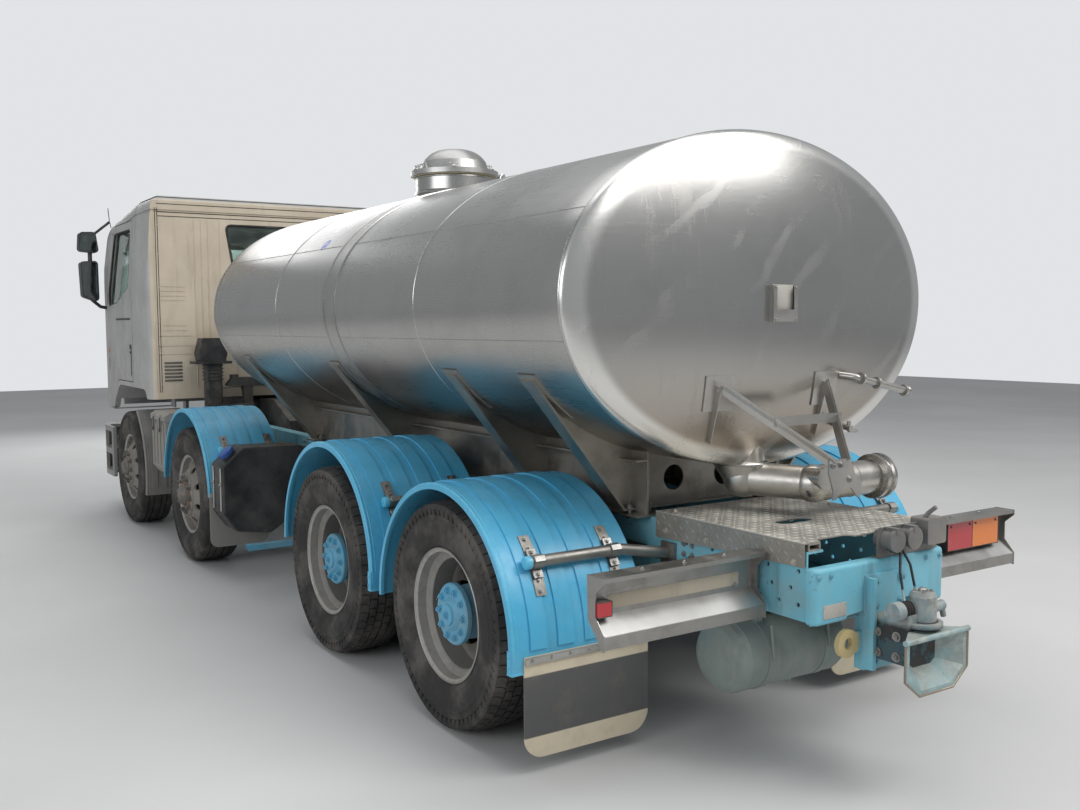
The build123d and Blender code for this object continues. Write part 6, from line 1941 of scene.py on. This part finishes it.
# Paint: name, colour, dust, grime, chips, roughness, and the heights where dust is full and where it thins.
# Steel: name, colour, grain, roughness, brushing, grime, and the same two heights.
FINISHES: tuple[Finish, ...] = (
    Paint("frame_blue", (0.16, 0.48, 0.6), 0.55, 0.55, 0.2, 0.5, 0.4, 1.1),
    Beam("beam_blue", (0.18, 0.55, 0.7), 0.35, 0.45, 0.22, 0.45, 0.3, 1.1, spot=(-4.262, 0.19, 0.551),
         spot_r=0.072, spot_colour=(0.64, 0.5, 0.22)),
    Paint("bolt_blue", (0.16, 0.46, 0.58), 0.35, 0.35, 0.3, 0.45, 0.3, 1.4),
    Paint("guard_blue", (0.085, 0.48, 0.76), 0.14, 0.2, 0.0, 0.33, 0.3, 1.1, peel=0.1),
    # Painted highlight: the guard blue lightened for the rounded lips; the tube caps and guard feet share it.
    Paint("guard_lip", (0.11, 0.54, 0.8), 0.1, 0.1, 0.0, 0.28, 0.2, 1.0, peel=0.08),
    Split("front_guard", (0.085, 0.47, 0.74), 0.3, 0.25, 0.0, 0.38, 0.3, 1.4, ahead=(0.25, 0.245, 0.235),
          split_x=2.15),
    Paint("guard_grey", (0.25, 0.245, 0.235), 0.65, 0.3, 0.0, 0.6, 0.4, 1.6),
    Paint("hub_blue", (0.1, 0.42, 0.64), 0.25, 0.55, 0.45, 0.42, 0.1, 0.8, under=(0.06, 0.06, 0.06)),
    Paint("cap_blue", (0.03, 0.12, 0.42), 0.2, 0.2, 0.0, 0.4, 0.2, 1.2),
    Paint("rest_blue", (0.12, 0.42, 0.6), 0.4, 0.35, 0.15, 0.45, 0.1, 0.6),
    Paint("axle_black", (0.022, 0.022, 0.024), 0.55, 0.5, 0.25, 0.6, 0.2, 1.3),
    Paint("engine_grime", (0.035, 0.034, 0.034), 0.45, 0.7, 0.35, 0.62, 0.4, 1.5),
    Split("cab_body", (0.64, 0.545, 0.42), 0.2, 0.26, 0.03, 0.4, 0.9, 2.2, ahead=(0.46, 0.46, 0.445),
          split_x=2.352, blur=0.006),
    Paint("cab_side", (0.43, 0.43, 0.42), 0.45, 0.35, 0.04, 0.42, 0.9, 2.2, under=(0.1, 0.09, 0.08)),
    Paint("bumper_grey", (0.3, 0.3, 0.295), 0.6, 0.35, 0.05, 0.5, 0.2, 1.2, under=(0.06, 0.06, 0.06)),
    Paint("grille_grey", (0.36, 0.36, 0.355), 0.45, 0.25, 0.04, 0.42, 0.8, 2.0, under=(0.06, 0.06, 0.06)),
    Paint("black_moulding", (0.018, 0.018, 0.019), 0.4, 0.2, 0.0, 0.55, 0.4, 2.6, peel=0.35),
    Paint("mirror_black", (0.014, 0.014, 0.016), 0.25, 0.1, 0.0, 0.45, 1.0, 3.0, peel=0.25),
    Paint("socket_grey", (0.15, 0.15, 0.148), 0.8, 0.4, 0.12, 0.55, 0.5, 1.2, under=(0.3, 0.31, 0.32)),
    Paint("tank_plastic", (0.022, 0.023, 0.026), 0.16, 0.2, 0.0, 0.5, 0.2, 1.2, peel=0.4),
    Paint("box_dusty", (0.3, 0.29, 0.27), 0.75, 0.45, 0.05, 0.65, 0.5, 1.6, under=(0.05, 0.05, 0.05)),
    # Painted shade: the air tank's green is darkened to the shadow that it hangs in.
    Paint("tank_green", (0.2, 0.25, 0.235), 0.3, 0.35, 0.12, 0.5, 0.2, 0.9),
    Paint("interior_trim", (0.085, 0.085, 0.088), 0.15, 0.1, 0.0, 0.65, 0.8, 2.2, peel=0.4),
    Paint("faded_strip", (0.5, 0.44, 0.34), 0.45, 0.25, 0.1, 0.6, 0.4, 1.1, under=(0.3, 0.3, 0.3)),
    Paint("pale_plate", (0.52, 0.5, 0.46), 0.35, 0.3, 0.15, 0.42, 0.4, 3.0, under=(0.25, 0.22, 0.19)),
    Paint("cream_rope", (0.52, 0.45, 0.31), 0.35, 0.25, 0.0, 0.8, 1.0, 3.5, peel=0.5),
    # Painted shade: near-black for the inside of the outlet pipe.
    Paint("dark_hollow", (0.01, 0.01, 0.011), 0.15, 0.1, 0.0, 0.8, 0.3, 1.4),
    TankSteel("tank_steel", (0.5, 0.495, 0.48), -3.604, 1.2, 1.78),
    Steel("seam_steel", (0.6, 0.595, 0.575), Axis.Y, 0.22, 0.15, 0.15, 0.8, 2.0),
    Steel("band_steel", (0.54, 0.535, 0.515), Axis.Y, 0.26, 0.18, 0.15, 0.8, 2.2),
    Steel("saddle_steel", (0.47, 0.45, 0.41), Axis.Z, 0.34, 0.3, 0.5, 0.8, 1.8),
    Steel("pipe_steel", (0.62, 0.6, 0.56), Axis.Y, 0.24, 0.25, 0.3, 0.8, 1.6),
    Steel("fitting_steel", (0.58, 0.565, 0.535), Axis.X, 0.28, 0.3, 0.25, 0.9, 2.2),
    Steel("bar_steel", (0.42, 0.41, 0.39), Axis.Y, 0.34, 0.35, 0.55, 0.4, 1.3),
    Steel("bright_steel", (0.66, 0.66, 0.65), Axis.Y, 0.34, 0.25, 0.05, 0.4, 1.2),
    Steel("strip_steel", (0.58, 0.57, 0.54), Axis.Y, 0.3, 0.25, 0.4, 0.2, 1.2),
    Steel("bolt_steel", (0.46, 0.455, 0.44), Axis.Z, 0.36, 0.2, 0.5, 0.3, 1.8),
    Steel("nut_steel", (0.33, 0.32, 0.3), Axis.Y, 0.42, 0.2, 0.6, 0.1, 1.2),
    Steel("tube_galvanised", (0.4, 0.385, 0.36), Axis.Y, 0.4, 0.2, 0.5, 0.4, 1.6, spangle=0.35),
    Steel("lid_metal", (0.6, 0.6, 0.58), Axis.Z, 0.36, 0.2, 0.3, 1.6, 3.4, spangle=0.45),
    Steel("fuel_alu", (0.55, 0.55, 0.54), Axis.X, 0.34, 0.3, 0.5, 0.3, 1.4),
    Steel("rim_edge", (0.48, 0.47, 0.45), Axis.Y, 0.36, 0.2, 0.5, 0.1, 1.0),
    Steel("worn_edge", (0.42, 0.36, 0.3), Axis.Y, 0.4, 0.3, 0.6, 0.2, 1.0),
    TreadPlate("tread_plate", (0.54, 0.52, 0.47), (0.27, 0.255, 0.225)),
    TreadPlate("tread_top", (0.7, 0.68, 0.62), (0.44, 0.42, 0.37)),
    Cast("coupling_cast", (0.055, 0.056, 0.058), (0.12, 0.36, 0.46), 0.2, (0.4, 0.43, 0.42), 0.645, 0.774),
    Cast("funnel_worn", (0.44, 0.51, 0.49), (0.27, 0.47, 0.52), 0.45),
    Cast("hub_cast", (0.2, 0.18, 0.16), (0.3, 0.29, 0.27), 0.3),
    *(Wheel("wheel_" + axle, (0.4, 0.39, 0.37), 0.5, 0.35, 0.15, 0.5, 0.1, 0.9, hub=hub, x=x,
            hub_r=0.141 if driven else 0.115, dish=DARK_DISH if driven else PALE_DISH)
      for (axle, x, driven), hub in zip(AXLES, HUBS)),
    Rubber("tyre_rubber", (0.022, 0.022, 0.023), 0.35, 0.78),
    Rubber("black_rubber", (0.015, 0.015, 0.016), 0.25, 0.6, 160.0),
    Banded("flap_rubber", (0.74, 0.65, 0.49), (0.12, 0.12, 0.12), (0.3, 0.29, 0.27), (0.147, 0.403)),
    Pane("cab_glass", (0.6, 0.72, 0.66), 0.12),
    MirrorGlass("mirror_glass", (0.2, 0.23, 0.23)),
    TailLens("lamp_lens", (0.5, 0.008, 0.018), (0.8, 0.2, 0.01), (0.78, 0.8, 0.8)),
    Lens("amber_lens", (0.75, 0.22, 0.02)),
    Cloth("seat_cloth", (0.04, 0.043, 0.052)),
)


@dataclass
class Stage:
    """Camera at the photograph's place, plain floor, soft lamps and a pale world."""

    eye: Point = (-6.98628, 3.38553, 1.79495)
    right: Point = (-0.549077, -0.835751, -0.005813)
    up: Point = (0.06059, -0.046741, 0.997068)
    ahead: Point = (0.833572, -0.547115, -0.076302)
    lens: float = 35.37
    floor_half: float = 26.0

    def camera(self) -> None:
        """Places the camera."""
        data = bpy.data.cameras.new("photo_view")
        data.sensor_fit = "HORIZONTAL"
        data.sensor_width = 36.0
        data.lens = self.lens
        data.clip_end = 200.0
        camera = placed("photo_view", data)
        rows = Matrix((self.right, self.up, tuple(-v for v in self.ahead))).transposed()
        camera.matrix_world = Matrix.Translation(self.eye) @ rows.to_4x4()
        bpy.context.scene.camera = camera

    def floor(self) -> None:
        """Makes the floor with faint clouding."""
        s = Shader("plain_floor")
        shade = s.noise(0.35, 4, 0.55)
        grit = s.noise(60, 5, 0.6)
        tone = s.mix(s.band(shade, 0.35, 0.7), (0.6, 0.6, 0.595), (0.66, 0.66, 0.655))
        s.set(base_color=s.mix(s.times(grit, 0.1), tone, (0.45, 0.45, 0.45)), roughness=0.85,
              specular_ior_level=0.2)
        s.relief((grit, 0.08, 0.002),)
        mesh = bmesh.new()
        bmesh.ops.create_grid(mesh, x_segments=8, y_segments=8, size=self.floor_half)
        bmesh.ops.translate(mesh, verts=mesh.verts, vec=(0, 0, -0.0015))
        data = bpy.data.meshes.new("floor")
        mesh.to_mesh(data)
        mesh.free()
        data.materials.append(s.material)
        placed("floor", data)

    def lamp(self, name: str, place: Point, aim: Point, size: tuple[float, float], power: float,
             tint: Colour = (1.0, 1.0, 1.0)) -> None:
        """Adds a rectangular softbox.

        Args:
            name: Its name.
            place: Its middle.
            aim: Point that it looks at.
            size: Width and height.
            power: Watts.
            tint: Colour of the light.
        """
        data = bpy.data.lights.new(name, "AREA")
        data.shape = "RECTANGLE"
        data.size, data.size_y = size
        data.energy = power
        data.color = tint
        lamp = placed(name, data)
        look = Vector(aim) - Vector(place)
        lamp.matrix_world = Matrix.Translation(place) @ look.to_track_quat("-Z", "Y").to_matrix().to_4x4()

    def world(self) -> None:
        """Makes the world: a plain pale backdrop for the view, and even fill light."""
        world = bpy.data.worlds.new("studio")
        bpy.context.scene.world = world
        world.use_nodes = True
        nodes, links = world.node_tree.nodes, world.node_tree.links
        nodes.clear()
        fill, shown = nodes.new("ShaderNodeBackground"), nodes.new("ShaderNodeBackground")
        fill.inputs["Color"].default_value = (0.93, 0.965, 1.0, 1.0)
        fill.inputs["Strength"].default_value = 0.36
        shown.inputs["Color"].default_value = (0.86, 0.88, 0.9, 1.0)
        shown.inputs["Strength"].default_value = 0.88
        rays = nodes.new("ShaderNodeLightPath")
        either = nodes.new("ShaderNodeMath")
        either.operation = "ADD"
        either.use_clamp = True
        links.new(rays.outputs["Is Camera Ray"], either.inputs[0])
        links.new(rays.outputs["Is Transmission Ray"], either.inputs[1])
        mixed, output = nodes.new("ShaderNodeMixShader"), nodes.new("ShaderNodeOutputWorld")
        links.new(either.outputs[0], mixed.inputs[0])
        links.new(fill.outputs[0], mixed.inputs[1])
        links.new(shown.outputs[0], mixed.inputs[2])
        links.new(mixed.outputs[0], output.inputs["Surface"])

    def build(self) -> None:
        """Sets up the view, the floor and the light."""
        self.camera()
        self.floor()
        self.world()
        self.lamp("key", (-9.0, -3.5, 9.0), (-1.5, 0, 1.2), (7.0, 6.0), 760, (1.0, 0.985, 0.96))
        self.lamp("sky", (0.0, 0.0, 11.0), (0, 0, 0), (14.0, 8.0), 480)
        self.lamp("left", (-4.0, 11.0, 4.5), (-0.5, 0, 1.2), (10.0, 4.0), 330, (0.97, 0.985, 1.0))
        self.lamp("front", (11.0, -2.0, 5.0), (2.0, 0, 1.4), (7.0, 4.0), 260)
        bpy.context.scene.view_settings.view_transform = "Standard"


def main() -> None:
    """Builds the whole scene."""
    logging.basicConfig(level=logging.INFO, format="%(name)s %(message)s")
    MATERIALS.update({finish.name: finish.make() for finish in FINISHES})
    LOG.info("%d finishes", len(MATERIALS))
    Stage().build()
    for part in (Wheels, Tank, Guards, RearEnd, Cab, Chassis):
        part().build()
        LOG.info("%s done", part.__name__)


if __name__ == "__main__":
    main()
